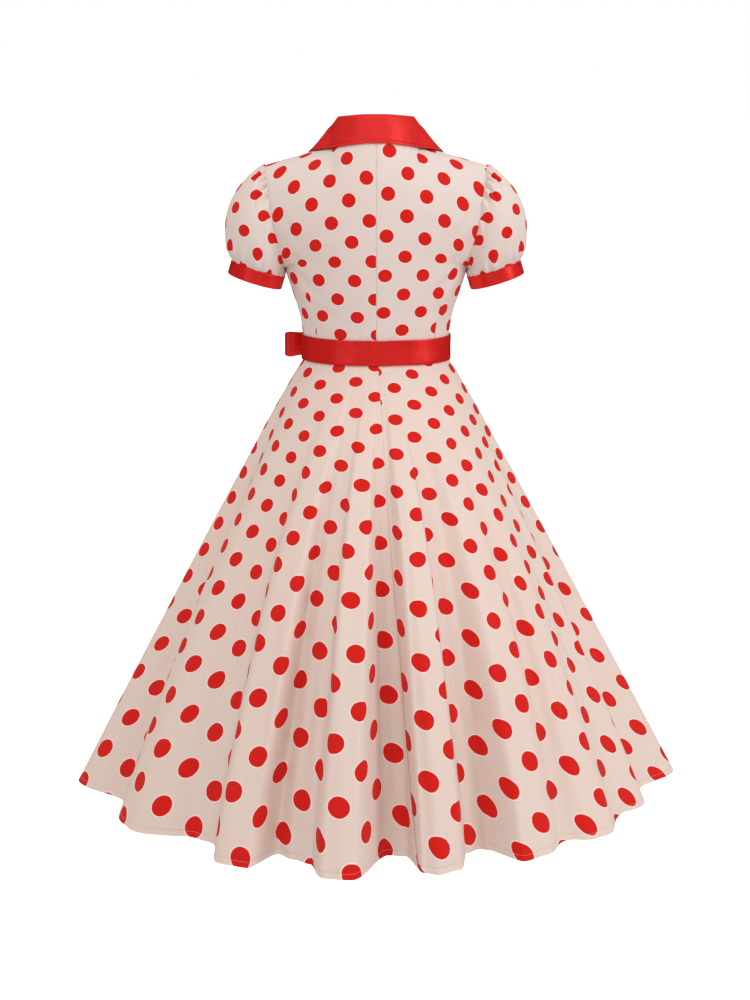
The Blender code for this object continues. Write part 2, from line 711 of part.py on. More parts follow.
def main():
    clear_scene()
    cloth = finish("dotted_cloth", CREAM, 0.75)
    satin = finish("red_satin", RED, 0.35)
    make_bodice(cloth)
    make_collar(satin)
    make_sleeves(cloth, satin)
    make_skirt(cloth)
    make_belt_and_bow(satin)


main()
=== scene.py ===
# %% [markdown]
# # A dotted swing dress, hollow and filled out as if worn
# This lesson dresses a plain frame of a dress in cloth. The frame gives the size and the
# place of each sewn piece. The looks are made here: every piece of cloth is laid out as a
# fine sheet on the same form, its print is placed on it as on the flat cut, and then come
# the seams, darts, gathers and stitches that a dressmaker would see.
#
# A sheet of cloth could be pulled into shape with sculpt brushes, or dropped on a body by
# a cloth simulation. Here it is worked out from a few sizes, because the folds of a skirt
# like this are set by its cut, and a rule keeps its pieces meeting at their seams.

# %% The frame
import json
import math

import bpy
import mathutils
import numpy as np
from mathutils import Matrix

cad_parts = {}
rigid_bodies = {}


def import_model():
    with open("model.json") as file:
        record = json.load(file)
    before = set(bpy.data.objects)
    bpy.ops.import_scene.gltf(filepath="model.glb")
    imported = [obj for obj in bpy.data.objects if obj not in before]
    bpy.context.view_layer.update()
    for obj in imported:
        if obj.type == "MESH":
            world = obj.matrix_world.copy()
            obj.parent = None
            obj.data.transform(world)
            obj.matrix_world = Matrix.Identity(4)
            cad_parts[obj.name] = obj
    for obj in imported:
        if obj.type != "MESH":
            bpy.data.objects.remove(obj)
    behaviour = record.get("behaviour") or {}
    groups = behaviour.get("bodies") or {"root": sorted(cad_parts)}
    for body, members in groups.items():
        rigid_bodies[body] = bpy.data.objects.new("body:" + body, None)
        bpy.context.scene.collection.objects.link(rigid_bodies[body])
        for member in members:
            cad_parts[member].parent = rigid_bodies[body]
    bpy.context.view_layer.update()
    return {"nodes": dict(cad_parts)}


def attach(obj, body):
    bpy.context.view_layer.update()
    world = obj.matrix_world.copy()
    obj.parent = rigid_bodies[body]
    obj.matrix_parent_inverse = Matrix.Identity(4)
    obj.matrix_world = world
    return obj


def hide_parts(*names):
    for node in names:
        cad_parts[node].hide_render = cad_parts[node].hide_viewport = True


bpy.ops.object.select_all(action="SELECT")
bpy.ops.object.delete()
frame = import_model()
bpy.ops.object.select_all(action="DESELECT")
print("the frame holds", len(frame["nodes"]), "pieces")

# %% [markdown]
# ## Small tools for smooth forms
# A garment is drawn from few numbers: a width here, a depth there. Between them the form
# has to run smoothly, and it must not swing past a number on the way to the next. The
# curve below does that: its slope is nothing wherever the numbers turn round.


# %% Curves through a few numbers
def slopes_through(keys, values):
    """The slope at each key of a smooth curve that never overshoots."""
    spans = np.diff(keys).reshape((-1,) + (1,) * (values.ndim - 1))
    rises = np.diff(values, axis=0) / spans
    product = rises[:-1] * rises[1:]
    total = np.where(product > 0, rises[:-1] + rises[1:], 1.0)
    inner = np.where(product > 0, 2 * product / total, 0.0)
    return np.concatenate((rises[:1], inner, rises[-1:]))


def through(keys, values, at, paired=False):
    """The curve's values at each place. Paired gives each place its own column of values."""
    keys = np.asarray(keys, float)
    values = np.asarray(values, float)
    at = np.atleast_1d(np.asarray(at, float))
    slopes = slopes_through(keys, values)
    low = np.clip(np.searchsorted(keys, at, side="right") - 1, 0, len(keys) - 2)
    span = keys[low + 1] - keys[low]
    inside = np.clip((at - keys[low]) / span, 0.0, 1.0)
    beyond = at - keys[low] - inside * span
    here = (low, np.arange(len(at))) if paired else (low,)
    there = (low + 1, np.arange(len(at))) if paired else (low + 1,)
    flat = (-1,) + (1,) * (values[here].ndim - 1)
    t = inside.reshape(flat)
    span = span.reshape(flat)
    start = (1 + 2 * t) * (1 - t) ** 2 * values[here] + t * (1 - t) ** 2 * span * slopes[here]
    end = t * t * (3 - 2 * t) * values[there] - t * t * (1 - t) * span * slopes[there]
    last = np.where(t > 0, slopes[there], slopes[here])
    return start + end + last * beyond.reshape(flat)


def from_table(table, at):
    """The same for a table whose rows each start with their key."""
    return through([row[0] for row in table], [row[1:] for row in table], at)


def eased(share):
    """From 0 to 1, slow at both ends."""
    return 0.5 - 0.5 * np.cos(np.pi * np.clip(share, 0.0, 1.0))


def bell(distance, width):
    """1 at no distance, and soft down to nothing."""
    return np.exp(-((distance / width) ** 2))


def band(away, height, where, reach):
    """A soft ridge beside a seam: how high, how far from it, and how wide it reaches."""
    return height * bell(away - where, reach)


def units(vectors):
    """Each vector, made one long."""
    length = np.linalg.norm(vectors, axis=-1, keepdims=True)
    return vectors / np.maximum(length, 1e-12)


def ramp_noise(seed, count, at):
    """Smooth random numbers from -1 to 1 along a line, the same ones each run."""
    numbers = np.random.RandomState(seed).uniform(-1, 1, count + 3)
    place = np.clip(np.asarray(at, float), 0, 1) * count
    low = np.floor(place).astype(int)
    return numbers[low] + (numbers[low + 1] - numbers[low]) * eased(place - low)


print("halfway between 0 and 1:", float(eased(0.5)))

# %% [markdown]
# ## From a grid of points to a sheet of cloth
# A sheet is a grid: columns run across the cloth, rows run down it. Each face corner also
# gets two pairs of flat coordinates. The first pair, Print, counts repeats of the dots. The
# second, Weave, is in metres and carries the threads. A dart swallows some cloth, so the
# print jumps where the dart is sewn: a jump adds to the flat coordinates past one column.
#
# Solidify gives the sheet its thickness, and its inner side takes the second material, the
# wrong side of the cloth, on which a print shows only faintly.

# %% Sheets from grids
CLOTH_THICKNESS = 0.0009
SATIN_THICKNESS = 0.0011
UPRIGHT = np.array((0.0, 0.0, 1.0))
MIRROR = np.array((-1.0, 1.0, 1.0))      # to the wearer's other side
FLAT_MIRROR = np.array((-1.0, 1.0))      # the same on flat cloth


def facing_of(grid, middle, around=False):
    """Each point's direction away from the middle, and 1 or -1 for the order of its corners.

    Around says that the last column is the first one again.
    """
    if around:
        wide = np.concatenate((grid[-2:-1], grid, grid[1:2]))
        across = np.gradient(wide, axis=0)[1:-1]
    else:
        across = np.gradient(grid, axis=0)
    normals = units(np.cross(across, np.gradient(grid, axis=1)))
    order = np.sign(np.sum(normals * (grid - middle)))
    return normals * order, order


def lengths_along(grid, axis):
    """How far each point is along its own row (axis 0) or column (axis 1), on the cloth."""
    steps = np.linalg.norm(np.diff(grid, axis=axis), axis=-1)
    first = np.zeros_like(np.take(steps, [0], axis=axis))
    return np.concatenate((first, np.cumsum(steps, axis=axis)), axis=axis)


def flat_of(grid):
    """Each point's place on the flat cloth: metres along its row and down its column."""
    return np.stack((lengths_along(grid, 0), lengths_along(grid, 1)), axis=-1)


def whole_of(half, mirror=MIRROR):
    """Both halves of a piece, from the columns of one half that starts at the middle."""
    return np.concatenate((half[:0:-1] * mirror, half))


def link_mesh(name, points, faces, materials):
    """A smooth object with its mesh, in the scene."""
    mesh = bpy.data.meshes.new(name)
    mesh.from_pydata(points.tolist(), [], faces)
    mesh.shade_smooth()
    for material in materials:
        mesh.materials.append(material)
    made = bpy.data.objects.new(name, mesh)
    bpy.context.collection.objects.link(made)
    return made


def sheet_from(name, grid, middle, prints, weave, materials, thickness, around=False, jumps=()):
    """A sheet of cloth that faces away from its middle, from arrays of columns by rows."""
    columns, rows = grid.shape[:2]
    kept = columns - 1 if around else columns
    points = grid[:kept].reshape(-1, 3)
    left = np.repeat(np.arange(columns - 1), rows - 1)
    top = np.tile(np.arange(rows - 1), columns - 1)
    corners = [(left, top), (left + 1, top), (left + 1, top + 1), (left, top + 1)]
    if facing_of(grid, middle, around)[1] < 0:
        corners.reverse()
    faces = np.stack([(i % kept) * rows + j for i, j in corners], axis=1)
    sheet = link_mesh(name, points, faces.tolist(), materials)
    for layer, flat in (("Print", prints), ("Weave", weave)):
        flat = np.stack([flat[i, j] for i, j in corners], axis=1)
        for column, shift in jumps if layer == "Print" else ():
            past = (left >= column)[:, None, None]
            moved = np.stack([shift[j] for i, j in corners], axis=1)
            flat = flat + np.where(past, moved, 0.0)
        uv = sheet.data.uv_layers.new(name=layer)
        uv.data.foreach_set("uv", flat.reshape(-1).astype(np.float32))
    wall = sheet.modifiers.new("Thickness", "SOLIDIFY")
    wall.thickness = thickness
    wall.offset = 0.0
    wall.material_offset = len(materials) - 1
    return sheet


print("cloth is", CLOTH_THICKNESS * 1000, "mm thick")

# %% [markdown]
# ## Colours and finishes
# The dotted cloth is a plain weave with a matt face. Its dots repeat in two sets, each set
# on its own straight lines and shifted by half a repeat from the other. In the shader the
# flat coordinate is wrapped inside one cell, and the distance to the cell's middle says
# whether a point is red, in the pale ring left round each dot, or on the ground colour.
# An image could hold the print too, but a rule stays sharp at any distance.
#
# Every finish needs the same few kinds of node, so a recipe holds a node tree and adds each
# kind with one short call. Any input can be a number, a colour or another node's output.

# %% Node helpers
class Recipe:
    """One node tree, and short ways to add nodes to it."""

    def __init__(self, tree):
        self.nodes = tree.nodes
        self.links = tree.links

    def fill(self, node, values):
        """Set a node's inputs, by name or number."""
        for key, value in values.items():
            socket = node.inputs[key]
            if isinstance(value, bpy.types.NodeSocket):
                self.links.new(value, socket)
            else:
                socket.default_value = (*value, 1.0) if socket.type == "RGBA" else value
        return node

    def add(self, kind, values=(), **settings):
        node = self.nodes.new(kind)
        for key, value in settings.items():
            setattr(node, key, value)
        return self.fill(node, dict(values))

    def math(self, operation, *values):
        return self.add("ShaderNodeMath", enumerate(values), operation=operation).outputs[0]

    def vector(self, operation, *values):
        node = self.add("ShaderNodeVectorMath", enumerate(values), operation=operation)
        return node.outputs["Value" if operation == "LENGTH" else "Vector"]

    def mix(self, factor, first, second):
        """The first colour where the factor is 0, the second where it is 1."""
        values = {"Factor": factor, 6: first, 7: second}
        return self.add("ShaderNodeMix", values, data_type="RGBA").outputs[2]

    def fade(self, value, low, high):
        """1 below low, 0 above high."""
        values = {"Value": value, "From Min": low, "From Max": high, "To Min": 1.0, "To Max": 0.0}
        node = self.add("ShaderNodeMapRange", values, interpolation_type="SMOOTHSTEP")
        return node.outputs["Result"]

    def noise(self, place, scale, detail=2.0):
        values = {"Vector": place, "Scale": scale, "Detail": detail}
        return self.add("ShaderNodeTexNoise", values).outputs["Fac"]

    def flat_place(self, layer):
        return self.add("ShaderNodeUVMap", uv_map=layer).outputs[0]

    def threads(self, weave, axis, wavelength):
        """Ridges of a thread each, side by side along one axis of the flat cloth."""
        along = self.add("ShaderNodeSeparateXYZ", {0: weave}).outputs[axis]
        return self.math("SINE", self.math("MULTIPLY", along, 2 * math.pi / wavelength))

    def bump(self, height, distance, strength):
        values = {"Height": height, "Distance": distance, "Strength": strength}
        return self.add("ShaderNodeBump", values).outputs["Normal"]


def new_finish(name):
    """A material, its recipe and its shader."""
    material = bpy.data.materials.new(name)
    material.use_nodes = True
    return material, Recipe(material.node_tree), material.node_tree.nodes["Principled BSDF"]


print("a recipe can add", [word for word in vars(Recipe) if word[0] != "_"])

# %% [markdown]
# Red ink on a cream ground is never quite even. One large, faint noise lets the ground drift
# between a rosy and a straw tone, and a fine one makes the ink's edge follow the threads.
# The sleeves' dots are a little smaller, as their gathers take the print up. The wrong side
# shows the same dots as a faint shadow.

# %% The dotted cloth
DOT_CELL = (0.92, 1.0)      # across and along, in repeats of a column of dots
DOT_SHIFT = (0.46, 0.5)     # from the first set of dots to the second
# Painted light: the skirt's ground is warmer than the bodice's and the sleeves', for the warm
# light bounced between the skirt's folds and the cool light from above.
SKIRT_GROUND_PAINTED_WARM = (0.748, 0.592, 0.535), (0.730, 0.605, 0.550)     # rosy, then straw
BODICE_GROUND_PAINTED_COOL = (0.742, 0.614, 0.575), (0.722, 0.628, 0.592)
WRONG_GROUND = (0.700, 0.570, 0.500)
DOT_RED = (0.640, 0.0110, 0.0080)
DOT_HALO = (0.840, 0.740, 0.680)
WRONG_DOT = (0.690, 0.330, 0.290)
SKIRT_DOT = 0.170           # radius, in repeats
BODICE_DOT = 0.169
SLEEVE_DOT = 0.160
HALO_WIDTH = 0.016
DOT_EDGE = 0.010            # softness of the ink's edge
HALO_EDGE = 0.015           # and of the pale ring's
INK_CREEP = 0.012           # how far the ink runs along a thread
INK_FIBRES = 260.0          # bundles of fibres that it runs along, a metre
GROUND_CLOUDS = 5.0         # of rosy and straw tone, a metre
CLOUD_EDGES = (0.35, 0.65)  # of the noise, between which one tone turns into the other
CLOTH_SLUBS = 900.0         # thick places in the threads, a metre
CROSSING_SHADE = (0.03, 0.985)   # how much lighter a crossing is, and the shade between
CLOTH_PITCH = 0.00045       # from one thread to the next
CLOTH_BUMP = 0.00006        # height of a thread
SLUB_HEIGHT = 0.8           # in heights of a thread
CLOTH_ROUGHNESS = (0.12, 0.70)   # how much a slub adds, and what it adds to
CELL_MIDDLE = (0.5, 0.5, 0.0)


def dot_distance(recipe, prints):
    """How far the nearest dot's middle is, in repeats."""
    found = []
    for shift in ((0.0, 0.0), DOT_SHIFT):
        moved = recipe.vector("SUBTRACT", prints, (*shift, 0.0))
        inside = recipe.vector("FRACTION", recipe.vector("DIVIDE", moved, (*DOT_CELL, 1.0)))
        centred = recipe.vector("SUBTRACT", inside, CELL_MIDDLE)
        found.append(recipe.vector("LENGTH", recipe.vector("MULTIPLY", centred, (*DOT_CELL, 0.0))))
    return recipe.math("MINIMUM", *found)


def dotted_cloth(name, grounds, dot, halo, radius):
    material, recipe, shader = new_finish("dotted cloth, " + name)
    weave = recipe.flat_place("Weave")
    creep = recipe.math("MULTIPLY", recipe.noise(weave, INK_FIBRES), INK_CREEP)
    distance = recipe.math("ADD", dot_distance(recipe, recipe.flat_place("Print")), creep)
    ring = radius + HALO_WIDTH
    in_dot = recipe.fade(distance, radius, radius + DOT_EDGE)
    in_halo = recipe.fade(distance, ring, ring + HALO_EDGE)
    drift = recipe.fade(recipe.noise(weave, GROUND_CLOUDS), *CLOUD_EDGES)
    ringed = recipe.mix(in_halo, recipe.mix(drift, *grounds), halo)
    printed = recipe.mix(in_dot, ringed, dot)
    # Plain weave: warp and weft cross over and under each other, so two threads a wave.
    waves = [recipe.threads(weave, axis, 2 * CLOTH_PITCH) for axis in (0, 1)]
    crossing = recipe.math("MULTIPLY", *waves)
    shade = recipe.math("MULTIPLY_ADD", crossing, *CROSSING_SHADE)
    values = {0: printed, "Scale": shade}
    woven = recipe.add("ShaderNodeVectorMath", values, operation="SCALE").outputs["Vector"]
    slub = recipe.noise(weave, CLOTH_SLUBS, 3.0)
    height = recipe.math("MULTIPLY_ADD", slub, SLUB_HEIGHT, crossing)
    recipe.fill(shader, {
        "Base Color": woven,
        "Normal": recipe.bump(height, CLOTH_BUMP, 0.6),
        "Roughness": recipe.math("MULTIPLY_ADD", slub, *CLOTH_ROUGHNESS),
        "Specular IOR Level": 0.12,
        "Sheen Weight": 0.04,
        "Sheen Roughness": 0.5,
    })
    return material


# Two copies of one cloth: the skirt's warmer ground is painted bounce light, the bodice's and
# sleeves' cooler ground is painted cool top light.
skirt_cloth = dotted_cloth("skirt", SKIRT_GROUND_PAINTED_WARM, DOT_RED, DOT_HALO, SKIRT_DOT)
cloth = dotted_cloth("bodice", BODICE_GROUND_PAINTED_COOL, DOT_RED, DOT_HALO, BODICE_DOT)
sleeve_cloth = dotted_cloth("sleeves", BODICE_GROUND_PAINTED_COOL, DOT_RED, DOT_HALO, SLEEVE_DOT)
cloth_inside = dotted_cloth(
    "wrong side", (WRONG_GROUND, WRONG_GROUND), WRONG_DOT, WRONG_GROUND, SKIRT_DOT)
print("ink dots are", round(2 * SKIRT_DOT, 3), "of a repeat across on the skirt")

# %% [markdown]
# Satin floats its threads over several others, all one way, so it shines across them and
# stays deeper along them. The shine has the thread's own red, which the shader calls partly
# metallic. Fine ridges in one direction carry it, and faint clouds break it up as on a
# pressed band. The collar is of the same satin, but it is faced and worn soft, so its shine
# is duller than that of the sash and the cuffs.

# %% The red satin
SATIN_RED = (0.960, 0.0180, 0.0145)
SATIN_DEEP = (0.860, 0.0145, 0.0120)
SATIN_PITCH = 0.00030       # from one thread to the next
SATIN_BUMP = 0.00003        # height of a thread
SATIN_SLUBS = 700.0         # thick places in the threads, a metre
SATIN_SLUB_HEIGHT = 0.4     # in heights of a thread
SATIN_CLOUDS = 28.0         # of deeper red, a metre
SATIN_CLOUD_EDGES = (0.30, 0.70)
CLOUD_ROUGHNESS = 0.10      # that they add
SASH_SHINE = (0.42, 0.28)   # how metallic, how rough
COLLAR_SHINE = (0.27, 0.36)


def satin_finish(name, metallic, rough):
    material, recipe, shader = new_finish(name)
    weave = recipe.flat_place("Weave")
    floats = recipe.threads(weave, 1, SATIN_PITCH)
    cloud = recipe.noise(weave, SATIN_CLOUDS, 3.0)
    slub = recipe.noise(weave, SATIN_SLUBS)
    height = recipe.math("MULTIPLY_ADD", slub, SATIN_SLUB_HEIGHT, floats)
    tone = recipe.fade(cloud, *SATIN_CLOUD_EDGES)
    recipe.fill(shader, {
        "Base Color": recipe.mix(tone, SATIN_RED, SATIN_DEEP),
        "Normal": recipe.bump(height, SATIN_BUMP, 0.5),
        "Roughness": recipe.math("MULTIPLY_ADD", cloud, CLOUD_ROUGHNESS, rough),
        "Metallic": metallic,
        "Specular IOR Level": 0.60,
        "Anisotropic": 0.50,
    })
    return material


satin = satin_finish("red satin", *SASH_SHINE)
collar_satin = satin_finish("red satin, collar", *COLLAR_SHINE)


def satin_piece(name, grid, middle, thickness, flat=None, around=False, finish=satin):
    """A sheet of satin. It has no print, so both pairs of flat coordinates are the same."""
    flat = flat_of(grid) if flat is None else flat
    return sheet_from(name, grid, middle, flat, flat, (finish,), thickness, around)


print("satin threads are", SATIN_PITCH * 1000, "mm apart")

# %% [markdown]
# ## The bodice
# A back bodice is cut in two halves and sewn down the middle. A dart on each side takes in
# the waist, so a flat cloth can follow the small of the back. The form is a stack of curves,
# one a level from the waist to the chest, that ends in the neckline and the shoulder seam.

# %% The bodice's levels and its top edge
WAIST_Z = -0.353
# Height in the middle, height at the edge, half width, depth in the middle, depth at
# the edge, turn of the curve in degrees.
BACK_LEVELS = (
    (-0.353, -0.353, 0.1212, 0.085, 0.000, 90),
    (-0.302, -0.302, 0.1278, 0.091, 0.000, 90),
    (-0.254, -0.256, 0.1424, 0.098, 0.000, 90),
    (-0.214, -0.222, 0.1520, 0.102, 0.000, 90),
    (-0.188, -0.216, 0.1535, 0.104, 0.024, 76),
    (-0.158, -0.190, 0.1580, 0.105, 0.046, 62),
    (-0.122, -0.145, 0.1700, 0.103, 0.056, 50),
)
FRONT_LEVELS = (
    (-0.353, -0.353, 0.1212, 0.098, 0.000, 90),
    (-0.306, -0.302, 0.1278, 0.107, 0.000, 90),
    (-0.262, -0.256, 0.1424, 0.125, 0.000, 90),
    (-0.232, -0.222, 0.1520, 0.132, 0.000, 90),
    (-0.222, -0.216, 0.1535, 0.133, 0.022, 76),
    (-0.212, -0.190, 0.1570, 0.133, 0.040, 62),
    (-0.202, -0.145, 0.1660, 0.132, 0.050, 52),
)
NECK_SHARE = 0.36           # share of the top edge that is neckline
NECK_SIDE = np.array((0.070, 0.0, -0.016))
SHOULDER_TIP = np.array((0.184, 0.0, -0.048))
NAPE = np.array((0.0, 0.064, 0.008))
V_POINT = np.array((0.0, -0.131, -0.190))
V_CURVE = 0.62              # power by which the V's sides bow forward


def level_points(level, facing, shares):
    """One level's curve, from the middle to the side."""
    mid_z, edge_z, half_width, mid_depth, edge_depth, turn = level
    end = math.radians(turn)
    bow = (np.cos(shares * end) - math.cos(end)) / (1 - math.cos(end))
    return np.stack((
        half_width * np.sin(shares * end) / math.sin(end),
        facing * (edge_depth + (mid_depth - edge_depth) * bow),
        mid_z + (edge_z - mid_z) * shares * shares,
    ), axis=-1)


def top_edge(facing, shares):
    """The neckline, then the shoulder seam."""
    part = np.minimum(shares / NECK_SHARE, 1.0)[:, None]
    if facing > 0:
        turn = part * math.pi / 2
        rise = NAPE[2] + (NECK_SIDE[2] - NAPE[2]) * np.sin(turn) ** 2
        line = (NECK_SIDE[0] * np.sin(turn), NAPE[1] * np.cos(turn), rise)
        line = np.concatenate(line, axis=1)
    else:
        line = V_POINT + (NECK_SIDE - V_POINT) * part
        line[:, 1] = V_POINT[1] * np.maximum(1 - part[:, 0], 0.0) ** V_CURVE
    along = ((shares - NECK_SHARE) / (1 - NECK_SHARE))[:, None]
    seam = NECK_SIDE + (SHOULDER_TIP - NECK_SIDE) * along
    return np.where(along > 0, seam, line)


print("from nape to waist:", round(NAPE[2] - WAIST_Z, 3), "m")

# %% [markdown]
# Above the chest the cloth turns over towards the neck and the shoulder, a quarter of a turn
# at most. One function gives any point of a half, by its share across and its share of the
# way up, so each later step, such as a seam or the collar, can ask where the cloth is.

# %% The bodice as one form
ARCH_STEPS = (0.30, 0.56, 0.80, 1.0)
BACK_ARCH = (55, 90)        # turn over the nape, turn over the shoulder
FRONT_ARCH = (62, 90)
BUST_OUT = 0.012
BUST_CENTRE = (0.072, -0.225)
BUST_SPREAD = (0.050, 0.055)
ROWS_UP = len(BACK_LEVELS) + len(ARCH_STEPS) - 1
UNDERARM = 3 / ROWS_UP      # the armhole starts this far up


def bodice_at(facing, shares, ups):
    """Points of the wearer's left half, by share from the middle and share of the way up."""
    shares, ups = np.broadcast_arrays(np.asarray(shares, float), np.asarray(ups, float))
    across = shares.reshape(-1)
    levels = BACK_LEVELS if facing > 0 else FRONT_LEVELS
    least, most = BACK_ARCH if facing > 0 else FRONT_ARCH
    stack = [level_points(level, facing, across) for level in levels]
    chest = stack[-1]
    top = top_edge(facing, across)
    end = np.radians(least + (most - least) * eased(across / NECK_SHARE))
    for step in ARCH_STEPS:
        rise = np.sin(step * end) / np.sin(end)
        back = (np.cos(step * end) - np.cos(end)) / (1 - np.cos(end))
        stack.append(np.stack((
            chest[:, 0] + (top[:, 0] - chest[:, 0]) * rise,
            top[:, 1] + (chest[:, 1] - top[:, 1]) * back,
            chest[:, 2] + (top[:, 2] - chest[:, 2]) * rise,
        ), axis=-1))
    place = through(range(ROWS_UP + 1), np.stack(stack), ups.reshape(-1) * ROWS_UP, paired=True)
    if facing < 0:
        over = (np.abs(place[:, 0]) - BUST_CENTRE[0]) / BUST_SPREAD[0]
        high = (place[:, 2] - BUST_CENTRE[1]) / BUST_SPREAD[1]
        place[:, 1] -= BUST_OUT * np.exp(-(over**2) - high**2)
    return place.reshape(shares.shape + (3,))


def length_of(points):
    """The length of a line of points."""
    return float(np.linalg.norm(np.diff(points, axis=0), axis=1).sum())


waist = [length_of(bodice_at(facing, np.linspace(0, 1, 60), 0)) for facing in (1, -1)]
print("the waist is", round(2 * sum(waist), 3), "m round")

# %% [markdown]
# Where two pieces are sewn, the cloth dips into the seam and puckers a little beside it.
# Beside a dart it does the same, and from each dart's point a soft fullness runs out. Long
# faint drags point from the armhole to the waist, where the arm pulls on the cloth. Real
# sewing always leaves these, and a dress without them looks moulded. Each is a small height
# added along the direction that the cloth faces.

# %% Relief on the bodice
SEAM_DIP = 0.0011           # at the seam down the middle
EDGE_DIP = 0.0004           # at the armhole and the side
SEWN_DIP = 0.0009           # at the shoulder and along a dart
SEAM_WIDTH = 0.0016
PUCKERS = (0.00028, 0.004, 0.006)        # height, place and reach, away from the seam
PUCKER_STEP = 0.011         # from one pucker to the next
DART_SHARE = 0.585          # where the darts stand, across the half
BACK_DART_TOP = 0.30        # share of the way up where a back dart ends
FRONT_DART_TOP = 0.24
DART_CLOSE = 0.05           # share of the way up over which it closes
DART_TAKE = 0.030           # cloth that a dart swallows at the waist
DART_FULLNESS = (0.0011, 0.0, 0.016)     # height, place and reach, round the dart's point
WAIST_CRUMPLES = (0.0007, 0.012, 0.020)  # the same, up from the waist
DRAG_ENDS = 0.08            # share of half a wave that is left out at each end of a drag
DRAG_RIM = (0.55, 1.9)      # the ridge beside a drag: its share of the depth, and its place

# Across and up where a drag starts, across and up where it ends, depth, width.
BACK_DRAGS = (
    (0.150, -0.205, 0.090, -0.262, 0.0016, 0.0075),
    (0.152, -0.180, 0.112, -0.222, 0.0012, 0.0060),
    (0.138, -0.250, 0.108, -0.320, 0.0013, 0.0065),
    (0.160, -0.120, 0.128, -0.165, 0.0010, 0.0060),
    (0.118, -0.268, 0.066, -0.300, 0.0008, 0.0080),
    (0.070, -0.060, 0.116, -0.092, 0.0007, 0.0090),
    (0.030, -0.318, 0.094, -0.326, 0.0007, 0.0045),
)
FRONT_DRAGS = (
    (0.150, -0.205, 0.100, -0.240, 0.0014, 0.0070),
    (0.146, -0.170, 0.115, -0.215, 0.0012, 0.0070),
    (0.130, -0.262, 0.085, -0.315, 0.0012, 0.0065),
    (0.040, -0.300, 0.100, -0.318, 0.0008, 0.0050),
    (0.120, -0.090, 0.100, -0.150, 0.0009, 0.0080),
)


def drags(grid, table):
    """Soft troughs along short straight lines, seen from the front or the back."""
    height = np.zeros(grid.shape[:2])
    flat = np.stack((np.abs(grid[..., 0]), grid[..., 2]), axis=-1)
    for x1, z1, x2, z2, depth, width in table:
        start = np.array((x1, z1))
        line = np.array((x2, z2)) - start
        share = np.clip(((flat - start) @ line) / (line @ line), 0, 1)
        away = np.linalg.norm(flat - start - share[..., None] * line, axis=-1)
        fade = np.sin(math.pi * (DRAG_ENDS + (1 - 2 * DRAG_ENDS) * share))
        rim = DRAG_RIM[0] * bell(away - DRAG_RIM[1] * width, width)
        height -= depth * (bell(away, width) - rim) * fade
    return height


def seam_relief(away, along, seed, depth=SEAM_DIP):
    """The dip at a seam and the puckers beside it, by distance from and along the seam."""
    count = max(4, int(np.max(along) / PUCKER_STEP))
    ripple = ramp_noise(seed, count, along / np.max(along))
    return band(away, -depth, 0.0, SEAM_WIDTH) + ripple * band(away, *PUCKERS)


print(len(BACK_DRAGS) + len(FRONT_DRAGS), "drags on each half of the bodice")

# %% [markdown]
# A sheet needs more columns where it changes fast, beside its seams and its dart. The relief
# of a whole half is the sum of all that is sewn there, so its parts can be changed one by one.

# %% Relief over one half
SHOULDER_START = 0.05       # share of the top edge over which the shoulder seam's dip begins
CRUMPLES = 26               # across a half, over the sash
EDGE_SHARES = (0.004, 0.009, 0.015, 0.022)    # of extra columns beside a sewn edge
DART_SIDES = 0.008          # share from a dart to the extra column on each side of it


def edge_shares(count, first=True, last=True):
    """Even shares from 0 to 1, with extra ones close to the sewn edges and the dart."""
    shares = list(np.linspace(0, 1, count))
    shares += EDGE_SHARES if first else ()
    shares += [1 - share for share in EDGE_SHARES] if last else ()
    shares += [DART_SHARE - DART_SIDES, DART_SHARE, DART_SHARE + DART_SIDES]
    return np.unique(np.round(shares, 5))


def dart_column(shares):
    return int(np.searchsorted(shares, DART_SHARE))


def bodice_relief(grid, shares, ups, facing, seed):
    """Heights over one half: seams at its edges, dart, drags and the crumple at the waist."""
    out_from_middle = lengths_along(grid, 0)
    up_from_waist = lengths_along(grid, 1)
    to_edge = out_from_middle[-1] - out_from_middle
    to_top = up_from_waist[:, -1:] - up_from_waist
    height = seam_relief(to_edge, up_from_waist, seed + 1, EDGE_DIP)
    if facing > 0:
        height += seam_relief(out_from_middle, up_from_waist, seed)
    shoulder = eased((shares[:, None] - NECK_SHARE) / SHOULDER_START)
    height += seam_relief(to_top, out_from_middle, seed + 2, SEWN_DIP) * shoulder
    dart_top = BACK_DART_TOP if facing > 0 else FRONT_DART_TOP
    dart = dart_column(shares)
    from_dart = np.abs(out_from_middle - out_from_middle[dart])
    closed = eased((dart_top - ups[None, :]) / DART_CLOSE)
    height += seam_relief(from_dart, up_from_waist, seed + 3, SEWN_DIP) * closed
    from_point = up_from_waist - np.interp(dart_top, ups, up_from_waist[dart])
    height += band(np.hypot(from_dart, from_point), *DART_FULLNESS)
    height += drags(grid, BACK_DRAGS if facing > 0 else FRONT_DRAGS)
    crumples = ramp_noise(seed + 4, CRUMPLES, shares)[:, None]
    return height + crumples * band(up_from_waist, *WAIST_CRUMPLES)


print("a sheet of 9 even columns gets", len(edge_shares(9)))

# %% [markdown]
# Both halves of the back come from one function. The second is its mirror image, but its
# print is not: the two were cut from different places on the cloth, so the dots do not
# meet down the middle seam. That mismatch is one of the things that makes it look sewn.

# %% Sewing the back
SEAM_AIR = 0.00015          # each of two sewn pieces stops this short of the seam
WAIST_REPEAT = 0.0580       # from one dot to the next up, at the waist, where cloth is eased in
REPEAT_EASE = 0.785         # how soon that easing is gone
